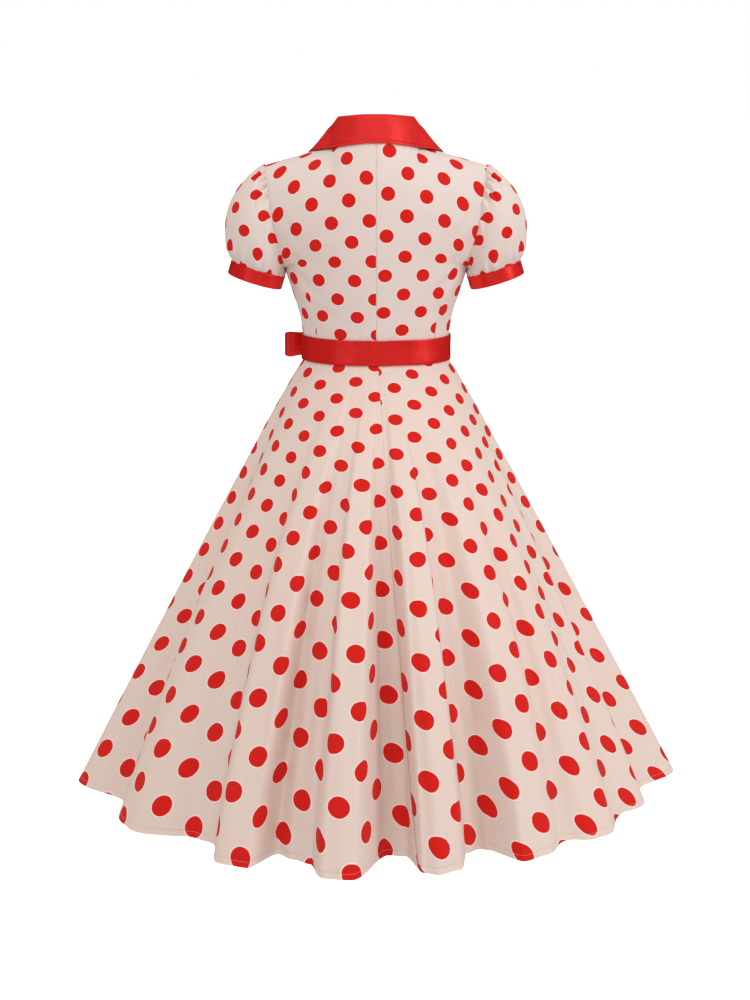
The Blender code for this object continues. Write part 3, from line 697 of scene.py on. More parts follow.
# By side: from one column of dots to the next, lean of the columns, where the print starts.
BACK_PRINT = {1: (0.0683, 0.069, 0.067, 0.480), -1: (0.0699, 0.036, 0.141, 0.844)}
BODICE_ROWS = 112
BACK_COLUMNS = 88           # of each half
BACK_SEEDS = {1: 30, -1: 10}
BODY = np.array((0.0, 0.0, -0.2))    # a point inside the wearer


def dart_jump(ups, dart_top):
    """By row, how far the flat cloth jumps across where the dart has swallowed it."""
    take = DART_TAKE * np.clip(1 - ups / dart_top, 0, 1)
    return np.stack((take, np.zeros_like(take)), axis=-1)


def sew_back(side, name):
    shares = edge_shares(BACK_COLUMNS)
    ups = np.linspace(0, 1, BODICE_ROWS)
    grid = bodice_at(1, shares[:, None], ups[None, :])
    height = bodice_relief(grid, shares, ups, 1, BACK_SEEDS[side])
    flat = flat_of(grid)
    jump = dart_jump(ups, BACK_DART_TOP)
    grid = grid + facing_of(grid, BODY)[0] * height[..., None]
    grid = (grid + np.array((SEAM_AIR, SEAM_AIR, 0.0))) * np.array((side, 1.0, 1.0))
    turn = np.array((side, 1.0))
    column, lean, first_across, first_up = BACK_PRINT[side]
    across = side * (flat[..., 0] - lean * flat[..., 1]) / column
    up = np.log1p(REPEAT_EASE * flat[..., 1]) / (REPEAT_EASE * WAIST_REPEAT)
    prints = np.stack((across + first_across, up + first_up), axis=-1)
    jumps = [(dart_column(shares), jump * turn / column)]
    finish = (cloth, cloth_inside)
    return sheet_from(name, grid, BODY, prints, flat * turn, finish, CLOTH_THICKNESS, jumps=jumps)


backs = (sew_back(1, "bodice_back_left_cloth"), sew_back(-1, "bodice_back_right_cloth"))
print("the back's halves have", [len(piece.data.polygons) for piece in backs], "faces")

# %% [markdown]
# The front was cut on the fold, so it is one sheet over both sides, and its print runs level
# across it and upright down it. Where a dart is closed, the dots on both sides of it are cut
# off, as they are by a real dart.

# %% Sewing the front
BODICE_REPEAT = 0.0685      # from one dot to the next down a column
FRONT_PRINT = (0.30, 0.55)  # where its print starts, in repeats
FRONT_COLUMNS = 80          # of each half
FRONT_SEED = 50


def sew_front():
    """Jumps add up across the sheet, so its print starts one dart's take back, and the part
    between the darts stays in its place."""
    half = edge_shares(FRONT_COLUMNS, first=False)
    ups = np.linspace(0, 1, BODICE_ROWS)
    left = bodice_at(-1, half[:, None], ups[None, :])
    height = bodice_relief(left, half, ups, -1, FRONT_SEED)
    jump = dart_jump(ups, FRONT_DART_TOP)
    level = lengths_along(left * np.array((1.0, 1.0, 0.0)), 0)
    upright = lengths_along(left * np.array((0.0, 1.0, 1.0)), 1)
    left = left + facing_of(left, BODY)[0] * height[..., None] - np.array((0.0, SEAM_AIR, 0.0))
    weave = whole_of(np.stack((level, upright), axis=-1), FLAT_MIRROR)
    prints = (weave - jump) / BODICE_REPEAT + np.array(FRONT_PRINT)
    middle = len(half) - 1
    dart = dart_column(half)
    jumps = [(column, jump / BODICE_REPEAT) for column in (middle + dart, middle - dart)]
    finish = (cloth, cloth_inside)
    name = "bodice_front_cloth"
    grid = whole_of(left)
    return sheet_from(name, grid, BODY, prints, weave, finish, CLOTH_THICKNESS, jumps=jumps)


bodice = (*backs, sew_front())
print("the front has", len(bodice[2].data.polygons), "faces")

# %% [markdown]
# ## Stitches
# One stitch is a short thread with round ends. It is modelled once, and its few faces are
# copied along each sewn line, a step apart, so that every copy lies on the cloth there.

# %% Stitches
STITCH_STEP = 0.0032
STITCH_SIZE = (0.00046, 0.00040, 0.0026)     # across, out and along
STITCH_RISE = 0.0001        # from the cloth's face to the middle of the thread
CREAM_THREAD = (0.760, 0.640, 0.570)
RED_THREAD = (0.560, 0.0120, 0.0100)
THREAD_SHADE = 0.85         # of its darker places
THREAD_FUZZ = 2500.0        # fibres a metre
THREAD_BUMP = 0.00005


def thread_finish(name, colour):
    material, recipe, shader = new_finish(name)
    place = recipe.add("ShaderNodeTexCoord").outputs["Object"]
    fuzz = recipe.noise(place, THREAD_FUZZ)
    darker = tuple(THREAD_SHADE * part for part in colour)
    recipe.fill(shader, {
        "Base Color": recipe.mix(fuzz, darker, colour),
        "Normal": recipe.bump(fuzz, THREAD_BUMP, 0.5),
        "Roughness": 0.55,
        "Specular IOR Level": 0.3,
    })
    return material


def model_stitch():
    """One stitch at the origin, along Z, as arrays of points and faces."""
    bpy.ops.object.select_all(action="DESELECT")
    bpy.ops.mesh.primitive_uv_sphere_add(segments=6, ring_count=4, radius=0.5, location=(0, 0, 0))
    stitch = bpy.context.object
    bpy.ops.transform.resize(value=STITCH_SIZE, center_override=(0, 0, 0))
    bpy.ops.object.transform_apply(location=False, rotation=False, scale=True)
    points = np.array([vertex.co[:] for vertex in stitch.data.vertices])
    faces = [tuple(face.vertices) for face in stitch.data.polygons]
    bpy.data.objects.remove(stitch, do_unlink=True)
    return points, faces


def line_on(grid, facing, distance, wanted):
    """The line on a sheet where distance, which changes down its columns, is the one wanted."""
    found = []
    for column, out, away in zip(grid, facing, distance):
        order = np.argsort(away)
        both = np.concatenate((column, out), axis=1)[order]
        found.append([np.interp(wanted, away[order], part) for part in both.T])
    found = np.array(found)
    return found[:, :3], units(found[:, 3:])


def sew_line(name, line, thread, wall):
    """Stitches along a line of points, on the outer side of a wall."""
    along_line = lengths_along(line[0][:, None], 0)[:, 0]
    middles = np.arange(STITCH_STEP, along_line[-1] - STITCH_STEP, STITCH_STEP)
    at, out = (
        np.stack([np.interp(middles, along_line, part) for part in values.T], axis=1)
        for values in line
    )
    along = units(np.gradient(at, axis=0))
    across = units(np.cross(along, units(out)))
    out = np.cross(across, along)
    at = at + out * (wall / 2 + STITCH_RISE)
    base, base_faces = model_stitch()
    placed = at[:, None] + sum(
        base[:, axis, None] * way[:, None] for axis, way in enumerate((across, out, along)))
    starts = len(base) * np.arange(len(at))
    copied = [tuple(start + np.array(face)) for start in starts for face in base_faces]
    return link_mesh(name, placed.reshape(-1, 3), copied, (thread,))


cream_thread = thread_finish("cream thread", CREAM_THREAD)
red_thread = thread_finish("red thread", RED_THREAD)
print("one stitch has", len(model_stitch()[1]), "faces")

# %% [markdown]
# ## The collar
# A turned collar is cut double, with a stand that rises from the neckline and a fall that
# rolls over and lies on the dress. The fall is laid out from points of the bodice under it,
# moved out, so that it can't cut through the shoulders.

# %% The collar's form
NECK_POINT_SHARE = 0.36     # share of the collar's half that lies on the back
# Share from the middle back to the front end, rise of the fold, lean of the fold towards
# the neck, outer edge across the panel, outer edge up the panel.
COLLAR_SHAPE = (
    (0.00, 0.0270, 0.0040, 0.000, 0.905),
    (0.12, 0.0325, 0.0035, 0.170, 0.905),
    (0.22, 0.0400, 0.0035, 0.335, 0.905),
    (0.30, 0.0450, 0.0045, 0.490, 0.935),
    (0.36, 0.0455, 0.0060, 0.600, 1.000),
    (0.45, 0.0400, 0.0070, 0.605, 0.860),
    (0.60, 0.0270, 0.0065, 0.630, 0.720),
    (0.70, 0.0190, 0.0055, 0.610, 0.665),
    (0.80, 0.0140, 0.0045, 0.470, 0.636),
    (0.90, 0.0105, 0.0035, 0.265, 0.612),
    (1.00, 0.0080, 0.0030, 0.030, 0.550),
)
FALL_SHARES = (0.30, 0.55, 0.80, 1.0)     # where the fall's points are, down to its edge
FALL_EASE = 1.15            # how soon the fall comes down to the panel
FALL_CLEAR = 0.0040         # from the bodice to the collar's middle surface
FOLD_ROUND = 0.0024         # radius of the fold
STAND_FOOT = 0.0022         # from the neckline to the foot of the stand
STAND_STEP = 0.0010         # least height of the stand's middle over its foot
STAND_LEANS = (0.3, 0.8)    # shares of the lean at the foot and the middle
# Least share across and most share up where the bodice's facing is measured, for the collar's
# seam and for its fall, because there is no cloth to measure past its edges.
SEAM_LIMITS = (0.02, 0.985)
FALL_LIMITS = (0.001, 0.998)


def bodice_facing(facing, share, up, step=1e-4):
    """The direction that the bodice faces at one place, away from the wearer."""
    shares = np.array((share + step, share - step, share, share))
    ups = np.array((up, up, up + step, up - step))
    near = bodice_at(facing, shares, ups)
    normal = units(np.cross(near[0] - near[1], near[2] - near[3]))
    return -normal if normal[2] + normal[1] * facing < 0 else normal


def collar_profile(share):
    """The points across the collar: up the stand, over the fold and down the fall."""
    rise, lean, edge_across, edge_up = from_table(COLLAR_SHAPE, share)[0]
    facing = 1 if share <= NECK_POINT_SHARE else -1
    past_point = (share - NECK_POINT_SHARE) / (1 - NECK_POINT_SHARE)
    seam_across = NECK_SHARE * (share / NECK_POINT_SHARE if facing > 0 else 1 - past_point)
    seam = bodice_at(facing, seam_across, 1.0)
    front_share = eased(past_point)
    outward = bodice_facing(facing, max(seam_across, SEAM_LIMITS[0]), SEAM_LIMITS[1])
    if outward[1] * facing < 0:
        outward = -outward
    up = units(UPRIGHT * (1 - front_share) + outward * front_share)
    inward = -units(np.array((seam[0] + 1e-6, seam[1] * (1 - front_share), 0.0)))
    half_rise = max(rise * 0.5, STAND_FOOT + STAND_STEP)
    points = [
        seam + up * STAND_FOOT + inward * lean * STAND_LEANS[0],
        seam + up * half_rise + inward * lean * STAND_LEANS[1],
        seam + up * (rise - FOLD_ROUND) + inward * (lean + FOLD_ROUND),
        seam + up * rise + inward * lean,
        seam + up * (rise - FOLD_ROUND) + inward * (lean - FOLD_ROUND),
    ]
    for part in FALL_SHARES:
        across = seam_across + (edge_across - seam_across) * part
        height = 1.0 + (edge_up - 1.0) * part
        inside = max(across, FALL_LIMITS[0]), min(height, FALL_LIMITS[1])
        lift = bodice_facing(facing, *inside)
        still_up = (1 - part) ** FALL_EASE
        on_panel = bodice_at(facing, across, height)
        points.append(on_panel + lift * FALL_CLEAR + (up * rise + inward * lean) * still_up)
    return np.array(points)


print("each profile of the collar has", len(collar_profile(0.0)), "points")

# %% [markdown]
# Its outer edge is turned and topstitched, which leaves a groove at the stitches and a low
# roll outside them. Profiles that were laid out one by one would leave small steps along the
# fold, so they are averaged with their neighbours before the cloth is made.

# %% Sewing the collar
COLLAR_THICKNESS = 0.0020
TOPSTITCH_IN = 0.0062       # from the collar's edge to its topstitching
# Height, place and reach, in from the edge, of the stitches' groove and the roll outside it.
TOPSTITCH_RELIEF = ((-0.0009, TOPSTITCH_IN, 0.0011), (0.0005, TOPSTITCH_IN / 2, 0.0022))
# Seed, number along a half, then the same three, of puckers and of soft waves.
COLLAR_WAVES = ((61, 40, 0.0004, 0.009, 0.006), (62, 9, 0.0010, 0.022, 0.014))
RELIEF_START = (0.45, 0.2)  # shares of the way over the collar where that begins, and fades in
COLLAR_SMOOTHING = (5, 5, 4)     # columns on each side that each round of smoothing takes in
COLLAR_COLUMNS = 130        # of each half
COLLAR_ROWS = 64
NECK = np.array((0.0, 0.0, -0.01))   # a point inside the neck


def rolled_smooth(half):
    """Cloth can't turn sharply along a fold, so the columns are averaged with their
    neighbours. The middle is mirrored and the front end stays."""
    for width in COLLAR_SMOOTHING:
        mirrored = half[width:0:-1] * MIRROR
        beyond = 2 * half[-1] - half[-2 : -width - 2 : -1]
        long = np.concatenate((mirrored, half, beyond))
        total = np.cumsum(np.concatenate((0 * long[:1], long)), axis=0)
        half = (total[2 * width + 1 :] - total[: -2 * width - 1]) / (2 * width + 1)
    return half


def sew_collar():
    shares = np.linspace(0, 1, COLLAR_COLUMNS)
    profiles = np.stack([collar_profile(share) for share in shares], axis=1)
    across = np.linspace(0, 1, COLLAR_ROWS) * (len(profiles) - 1)
    half = rolled_smooth(through(range(len(profiles)), profiles, across).transpose(1, 0, 2))
    faces_out = facing_of(half, NECK)[0]
    flat = flat_of(half)
    along, down = flat[..., 0], flat[..., 1]
    to_edge = down[:, -1:] - down
    height = np.zeros(to_edge.shape)
    for ridge in TOPSTITCH_RELIEF:
        height += band(to_edge, *ridge)
    for seed, count, *ridge in COLLAR_WAVES:
        height += ramp_noise(seed, count, along / along.max()) * band(to_edge, *ridge)
    falls = eased((down / down[:, -1:] - RELIEF_START[0]) / RELIEF_START[1])
    half = half + faces_out * (height * falls)[..., None]
    falling = COLLAR_ROWS // 2
    line = line_on(
        half[:, falling:], faces_out[:, falling:], to_edge[:, falling:], TOPSTITCH_IN)
    line = [whole_of(values) for values in line]
    stitches = sew_line("collar_stitches", line, red_thread, COLLAR_THICKNESS)
    flat = whole_of(flat, FLAT_MIRROR)
    sheet = satin_piece(
        "collar_satin", whole_of(half), NECK, COLLAR_THICKNESS, flat, finish=collar_satin)
    return sheet, stitches


collar, collar_stitches = sew_collar()
print("the collar has", len(collar.data.polygons), "faces")

# %% [markdown]
# ## Puffed sleeves and their cuffs
# A puffed sleeve is cut wider than its armhole and longer than it hangs. The extra width is
# gathered into the sleeve's head and into the cuff, and the extra length makes the cloth
# bow out between them. Each line down the sleeve is one curve of four points: it leaves the
# armhole, swells, and turns in to the cuff, which stands a little tilted on the arm.

# %% The sleeve's form
ARMHOLE_GAP = 0.0002
NEAR_ARMHOLE = 0.97         # share across of a place just inside it
UNDERARM_CLEAR = 0.0004     # how far the sleeve stands off the side under the arm
CUFF_CENTRE = np.array((0.1985, 0.0, -0.2195))
CUFF_TILT = math.radians(17.3)
CUFF_HALF_WIDTH = 0.0462
CUFF_HALF_DEPTH = 0.0500
CUFF_GAP = 0.0005
# Turn round the arm from the shoulder, reach at the head out, reach at the head up,
# length held above the cuff, bulge above the cuff.
SLEEVE_SHAPE = (
    (0, 0.033, -0.011, 0.068, 0.060),
    (45, 0.029, -0.005, 0.060, 0.051),
    (90, 0.020, 0.000, 0.040, 0.026),
    (135, 0.010, 0.000, 0.016, 0.010),
    (180, 0.002, -0.003, 0.003, 0.001),
)


def armhole_at(turn):
    """Round the armhole from the shoulder (0) by the back (90) to the underarm (180)."""
    round_by = turn % 360
    part = np.minimum(round_by, 360 - round_by) / 180
    up = 1 - part * (1 - UNDERARM)
    found = []
    for facing in (1, -1):
        edge = bodice_at(facing, 1.0, up)
        outward = units(edge - bodice_at(facing, NEAR_ARMHOLE, up))
        found.append(edge + outward * ARMHOLE_GAP)
    place = np.where((round_by <= 180)[:, None], found[0], found[1])
    place[:, 0] += UNDERARM_CLEAR * eased(part * 3 - 2)
    return place


def cuff_frame(turn):
    """The ways out from the arm at each turn, and the way down it."""
    down = np.array((math.sin(CUFF_TILT), 0.0, -math.cos(CUFF_TILT)))
    wide = np.array((math.cos(CUFF_TILT), 0.0, math.sin(CUFF_TILT)))
    angle = np.radians(turn)[:, None]
    return wide * np.cos(angle) + np.array((0.0, 1.0, 0.0)) * np.sin(angle), down


def cuff_at(turn, down_by, out_by=0.0):
    """Points round the cuff, so far below its top edge and so far out."""
    out, down = cuff_frame(turn)
    angle = np.radians(turn)
    size = np.hypot(CUFF_HALF_WIDTH * np.cos(angle), CUFF_HALF_DEPTH * np.sin(angle))
    return CUFF_CENTRE + out * (size + out_by)[:, None] + down * down_by


def sleeve_grid(turns, along):
    """The puffed sleeve from the armhole (along 0) to the top of its cuff (1)."""
    half_turn = np.minimum(turns % 360, 360 - turns % 360)
    head_out, head_up, hold, bulge = from_table(SLEEVE_SHAPE, half_turn).T[..., None]
    start = armhole_at(turns)
    out, down = cuff_frame(turns)
    end = cuff_at(turns, -CUFF_GAP)
    sine = np.sin(np.radians(turns))[:, None]
    first = start + np.concatenate((head_out, head_out * sine * 0.5, head_up), axis=1)
    second = end - down * hold + out * bulge
    t = along[None, :, None]
    weights = ((1 - t) ** 3, 3 * t * (1 - t) ** 2, 3 * t * t * (1 - t), t**3)
    corners = (start, first, second, end)
    return sum(weight * corner[:, None, :] for weight, corner in zip(weights, corners))


from_armhole = sleeve_grid(np.zeros(1), np.linspace(0, 1, 20))[0]
print("over the top of the arm the sleeve is", round(length_of(from_armhole), 3), "m long")

# %% [markdown]
# The tucks at the head are few and uneven, so each has its own row in a table. The gathers at
# the cuff are many and even, so one wave makes them, with a slow noise to loosen it. They
# roll over the cuff's top edge, and under the arm both die away.

# %% Tucks and gathers
# Turn of each tuck at the head, how wide it is in degrees, how deep, how far it runs.
HEAD_TUCKS = (
    (-74, 3.6, 0.0030, 0.18), (-58, 3.2, 0.0044, 0.26), (-43, 3.0, 0.0056, 0.22),
    (-31, 2.8, 0.0060, 0.32), (-19, 2.8, 0.0056, 0.24), (-8, 2.8, 0.0060, 0.32),
    (4, 2.8, 0.0056, 0.26), (14, 2.6, 0.0062, 0.36), (25, 2.8, 0.0064, 0.28),
    (37, 2.8, 0.0072, 0.42), (48, 2.8, 0.0062, 0.26), (60, 3.0, 0.0070, 0.46),
    (74, 3.4, 0.0050, 0.26), (92, 4.0, 0.0036, 0.34),
)
TUCK_START = 0.03           # share of the way down over which a tuck opens from the seam
TUCK_FAN = 0.25             # how much further apart the tucks are at the cuff
TUCK_RIM = (0.5, 2)         # the ridge beside a tuck: its share of the depth, and its place
CUFF_TUCKS = 17
CUFF_TUCK_SWAY = 2.0        # how far those tucks wander, in radians
CUFF_TUCK_HEIGHTS = (0.75, 0.45)     # their mean, and how far they differ from it
FLAT_UNDERARM = (120, 60)   # turn where the gathers begin to fade, and over how many degrees
# Seed and number round the arm of each noise.
SWAY_NOISE = (71, 16)
HEIGHT_NOISE = (72, 30)
DENT_NOISE = (73, 7)
DENT_LEAN = 0.08            # share of the way round that dents lean over, down the sleeve
# Height, place and reach, in shares of the way down the sleeve.
CUFF_TUCK_RELIEF = ((0.00140, 0.93, 0.07), (0.00049, 0.80, 0.10))
ARMHOLE_DIP = (-0.0002, 0.0, 0.012)
SLEEVE_DENTS = 0.0020


def sleeve_relief(turns, along):
    """Tucks at the head, gathers above the cuff and the dip at each seam."""
    turn = (turns[:, None] + 180) % 360 - 180
    t = along[None, :]
    height = np.zeros((len(turns), len(along)))
    for middle, width, depth, reach in HEAD_TUCKS:
        fade = eased(t / TUCK_START) * (1 - eased(t / reach))
        away = turn - middle * (1 + TUCK_FAN * t)
        rim = TUCK_RIM[0] * bell(away - TUCK_RIM[1] * width, width)
        height -= depth * (bell(away, width) - rim) * fade
    round_by = (turn + 180) / 360
    sway = CUFF_TUCK_SWAY * ramp_noise(*SWAY_NOISE, round_by)
    mean, spread = CUFF_TUCK_HEIGHTS
    uneven = mean + spread * ramp_noise(*HEIGHT_NOISE, round_by)
    on_top = 1 - eased((np.abs(turn) - FLAT_UNDERARM[0]) / FLAT_UNDERARM[1])
    gathers = np.cos(np.radians(turn * CUFF_TUCKS) + sway) * uneven * on_top
    height += gathers * sum(band(t, *ridge) for ridge in CUFF_TUCK_RELIEF)
    height += band(t, *ARMHOLE_DIP)
    dents = ramp_noise(*DENT_NOISE, round_by + DENT_LEAN * t) * np.sin(math.pi * t) ** 2
    return height + SLEEVE_DENTS * dents, gathers


print(len(HEAD_TUCKS), "tucks at the head and", CUFF_TUCKS, "at the cuff")

# %% [markdown]
# A sleeve is a closed tube, so its last column is its first one again. Both sleeves share the
# form and differ in where their print starts.

# %% Sewing the sleeves
CUFF_OVERHANG = (0.0030, 0.90, 0.07)     # where the sleeve rolls down over the cuff
SLEEVE_COLUMNS = 216
SLEEVE_ROWS = 72
SLEEVE_EXTRA_ROWS = (0.004, 0.008, 0.985, 0.994)    # beside both seams
SLEEVE_WIDEST = 0.6         # share of the way down where no cloth is gathered
SLEEVE_STRETCH = np.array((0.92, 1.08))   # what the gathers take up, and what the puff adds
SLEEVE_PRINT = {1: (0.805, 0.0), -1: (0.613, 0.542)}     # where each side's print starts


def sew_sleeve(side, name):
    turns = np.linspace(0, 360, SLEEVE_COLUMNS + 1) - 180
    rows = np.concatenate((np.linspace(0, 1, SLEEVE_ROWS), SLEEVE_EXTRA_ROWS))
    along = np.unique(rows)
    grid = sleeve_grid(turns, along)
    grid[-1] = grid[0]
    height, gathers = sleeve_relief(turns, along)
    arm = grid.mean(axis=(0, 1))
    # The print hangs straight from the shoulder's line, and its widest row isn't gathered.
    widest = lengths_along(grid, 0)[:, int(SLEEVE_WIDEST * len(along))]
    from_shoulder = (widest - widest[len(turns) // 2])[:, None] + 0 * height
    down_cloth = lengths_along(grid, 1)
    flat = np.stack((from_shoulder, down_cloth - down_cloth[:, -1:]), axis=-1)
    over = (1.0 + gathers) * band(along[None, :], *CUFF_OVERHANG)
    out = facing_of(grid, arm, True)[0]
    grid = grid + out * height[..., None] + cuff_frame(turns)[1] * over[..., None]
    grid[-1] = grid[0]
    mirror = np.array((side, 1.0, 1.0))
    flat = flat * np.array((side, -1.0))
    prints = flat * SLEEVE_STRETCH / BODICE_REPEAT + np.array(SLEEVE_PRINT[side])
    grid, arm = grid * mirror, arm * mirror
    finish = (sleeve_cloth, cloth_inside)
    return sheet_from(name, grid, arm, prints, flat, finish, CLOTH_THICKNESS, around=True)


sleeves = (sew_sleeve(1, "sleeve_left_cloth"), sew_sleeve(-1, "sleeve_right_cloth"))
print("the sleeves have", [len(piece.data.polygons) for piece in sleeves], "faces")

# %% [markdown]
# A cuff is a band of satin that is folded double, so both its edges are round. A plain tube
# would show a hard rim there, and a few extra rows close to each edge are enough to roll it.

# %% Sewing the cuffs
CUFF_HEIGHT = 0.0234
CUFF_THICKNESS = 0.0018
CUFF_ROLL = 0.0005          # how far in its folded edges lie
CUFF_ROLL_REACH = 0.0012
CUFF_CREASES = 0.0004
CUFF_NOISE = (81, 22)       # seed, and number round the arm
CUFF_LEAN = 0.02            # share of the way round that creases lean over
CUFF_COLUMNS = 144
CUFF_EDGE_ROWS = (0.0, 0.0005, 0.0014, 0.0030, 0.0070)    # down from an edge


def sew_cuff(side, name):
    """A folded band, with rounded edges and faint creases round the arm."""
    turns = np.linspace(0, 360, CUFF_COLUMNS + 1) - 180
    edge = np.array(CUFF_EDGE_ROWS)
    rows = []
    for drop in np.concatenate((edge, (CUFF_HEIGHT / 2,), CUFF_HEIGHT - edge[::-1])):
        share = drop / CUFF_HEIGHT
        roll = CUFF_ROLL * (1 - bell(min(drop, CUFF_HEIGHT - drop), CUFF_ROLL_REACH))
        crease = CUFF_CREASES * ramp_noise(*CUFF_NOISE, (turns + 180) / 360 + CUFF_LEAN * share)
        rows.append(cuff_at(turns, drop, roll + crease * math.sin(math.pi * share)))
    grid = np.stack(rows, axis=1) * np.array((side, 1.0, 1.0))
    grid[-1] = grid[0]
    return satin_piece(name, grid, grid.mean(axis=(0, 1)), CUFF_THICKNESS, around=True)


cuffs = (sew_cuff(1, "cuff_left_satin"), sew_cuff(-1, "cuff_right_satin"))
print("the cuffs have", [len(piece.data.polygons) for piece in cuffs], "faces")

# %% [markdown]
# ## The skirt
# The skirt is cut as rings of a very wide cone, so there is next to no gather at the waist
# and nearly four metres of edge at the hem. Over a petticoat that edge falls into round folds
# that begin near the waist as faint fans and deepen all the way down. A simulation would fold
# it too, but not where wanted. So a table has a mark for each crest and each valley: where it
# runs at the hem and halfway up, how far the cloth stands out there, and how low it hangs.

# %% The skirt's form
HEM_DROP = 0.768
SKIRT_GAP = 0.0003
# Drop below the waist seam, half width, depth behind, depth in front.
SKIRT_SECTIONS = (
    (0.000, 0.1212, 0.085, 0.098),
    (0.018, 0.1222, 0.086, 0.099),
    (0.040, 0.1350, 0.103, 0.115),
    (0.110, 0.1725, 0.168, 0.178),
    (0.190, 0.2117, 0.237, 0.245),
    (0.270, 0.2510, 0.293, 0.299),
    (0.350, 0.2895, 0.338, 0.344),
    (0.440, 0.3325, 0.373, 0.380),
    (0.600, 0.4080, 0.409, 0.418),
    (0.768, 0.4850, 0.437, 0.448),
)
# Degrees round from the middle back to the wearer's left, at the hem and halfway up, how
# far the cloth stands out there at the hem, and how much lower it hangs.
SKIRT_FOLDS = (
    (4.6, 2.8, 0.036, 0.002), (10.0, 8.6, 0.034, 0.002),
    (14.0, 11.4, -0.012, 0.0), (18.5, 15.2, -0.024, 0.0), (22.9, 19.4, -0.038, 0.0),
    (25.4, 21.8, 0.028, 0.002), (31.5, 28.5, 0.028, 0.002),
    (39.5, 36.5, -0.030, 0.0), (43.0, 41.0, -0.031, 0.0),
    (56.5, 57.5, 0.019, 0.002), (59.5, 61.0, 0.016, 0.002),
    (75.0, 74.0, -0.026, 0.012), (87.0, 87.0, 0.047, 0.006),
    (99.5, 100.0, -0.030, 0.0), (113.0, 112.0, 0.036, 0.006),
    (124.0, 125.0, -0.036, 0.0), (137.0, 138.0, 0.033, 0.002),
    (149.5, 149.0, -0.031, 0.0), (161.0, 159.0, 0.038, 0.004),
    (172.0, 171.0, -0.042, 0.0), (184.0, 185.0, 0.034, 0.003),
    (197.0, 199.0, -0.030, 0.0), (208.5, 209.0, 0.037, 0.006),
    (219.0, 218.0, -0.038, 0.0), (231.0, 230.0, 0.031, 0.004),
    (242.5, 243.0, -0.035, 0.0), (253.5, 254.0, 0.030, 0.008),
    (260.5, 260.0, -0.016, 0.0), (268.0, 268.0, 0.050, 0.003),
    (281.0, 280.0, -0.012, 0.0), (288.5, 288.0, 0.005, 0.004),
    (296.5, 295.0, -0.012, 0.0), (306.5, 309.5, 0.013, 0.003),
    (310.0, 312.0, 0.011, 0.002), (315.7, 317.0, -0.012, 0.0),
    (324.0, 323.0, 0.010, 0.002), (329.2, 330.4, 0.016, 0.002),
    (333.2, 336.6, -0.044, 0.0), (334.8, 341.0, -0.052, 0.0), (338.5, 342.6, -0.044, 0.0),
    (343.5, 345.0, 0.014, 0.001), (347.5, 349.2, 0.024, 0.002), (350.6, 351.8, 0.014, 0.001),
    (353.0, 354.8, -0.050, 0.0), (357.2, 359.4, -0.058, 0.0),
)
# Share of the way down, how deep a fold is there in the middle, and at the sides.
FOLD_GROWTH = (
    (0.00, 0.000, 0.000),
    (0.03, 0.003, 0.008),
    (0.07, 0.018, 0.028),
    (0.16, 0.100, 0.100),
    (0.31, 0.365, 0.260),
    (0.50, 0.620, 0.466),
    (0.75, 0.840, 0.729),
    (1.00, 1.000, 1.000),
)
FOLD_SWING = 0.55           # share of the way up over which a fold swings to its upper place
# Azimuth of each seam at the waist, and its turn from there to the hem.
BACK_SEAM = (-2.6, -6.1)
BACK_SEAM_AGAIN = (BACK_SEAM[0] + 360.0, BACK_SEAM[1])     # once round
LEFT_SEAM = (90.0, 2.5)
RIGHT_SEAM = (270.0, -3.0)


def fold_at(azimuth, v):
    """How far the cloth stands out, and how much lower it hangs, at one share of the drop."""
    turn = np.array((360.0, 360.0, 0.0, 0.0))
    marks = np.array((SKIRT_FOLDS[-1] - turn, *SKIRT_FOLDS, SKIRT_FOLDS[0] + turn))
    lines = marks[:, 0] + (marks[:, 1] - marks[:, 0]) * eased((1 - v) / FOLD_SWING)
    azimuth = (azimuth - lines[1]) % 360 + lines[1]
    low = np.clip(np.searchsorted(lines, azimuth, side="right") - 1, 0, len(lines) - 2)
    share = eased((azimuth - lines[low]) / (lines[low + 1] - lines[low]))
    reach, sag = (marks[low, i] + (marks[low + 1, i] - marks[low, i]) * share for i in (2, 3))
    middle, side = from_table(FOLD_GROWTH, v)[0]
    grown = side + (middle - side) * np.cos(np.radians(azimuth)) ** 2
    return reach * grown, sag * grown


def oval_radius(azimuth, half_width, behind, in_front):
    """Of an oval whose front and back halves have their own depths."""
    angle = np.radians(azimuth)
    depth = np.where(np.cos(angle) > 0, behind, in_front)
    return 1 / np.hypot(np.sin(angle) / half_width, np.cos(angle) / depth)


def round_place(azimuth, radius, height):
    angle = np.radians(azimuth)
    return np.stack((radius * np.sin(angle), radius * np.cos(angle), height + 0 * angle), axis=-1)


def skirt_row(azimuth, drop, out_by=0.0):
    """Points of the skirt at one drop, by azimuth from the middle back."""
    reach, sag = fold_at(azimuth, max(drop / HEM_DROP, 0.0))
    radius = oval_radius(azimuth, *from_table(SKIRT_SECTIONS, drop)[0]) + reach + out_by
    return round_place(azimuth, radius, WAIST_Z - SKIRT_GAP - drop - sag)


hem = skirt_row(np.linspace(0, 360, 2000), HEM_DROP)
print("the hem is", round(length_of(hem), 2), "m round")

# %% [markdown]
# Laid flat, each part of the skirt is a piece of a ring. Every point's place on that ring
# is its distance down the cloth and its distance round it. The dots of this print grow
# towards the hem and fan out, as on cloth printed for such skirts. So the print has its own
# rings and spokes: the rings grow by the same share for each metre down, and the spokes fan
# out as much as keeps the dots round.

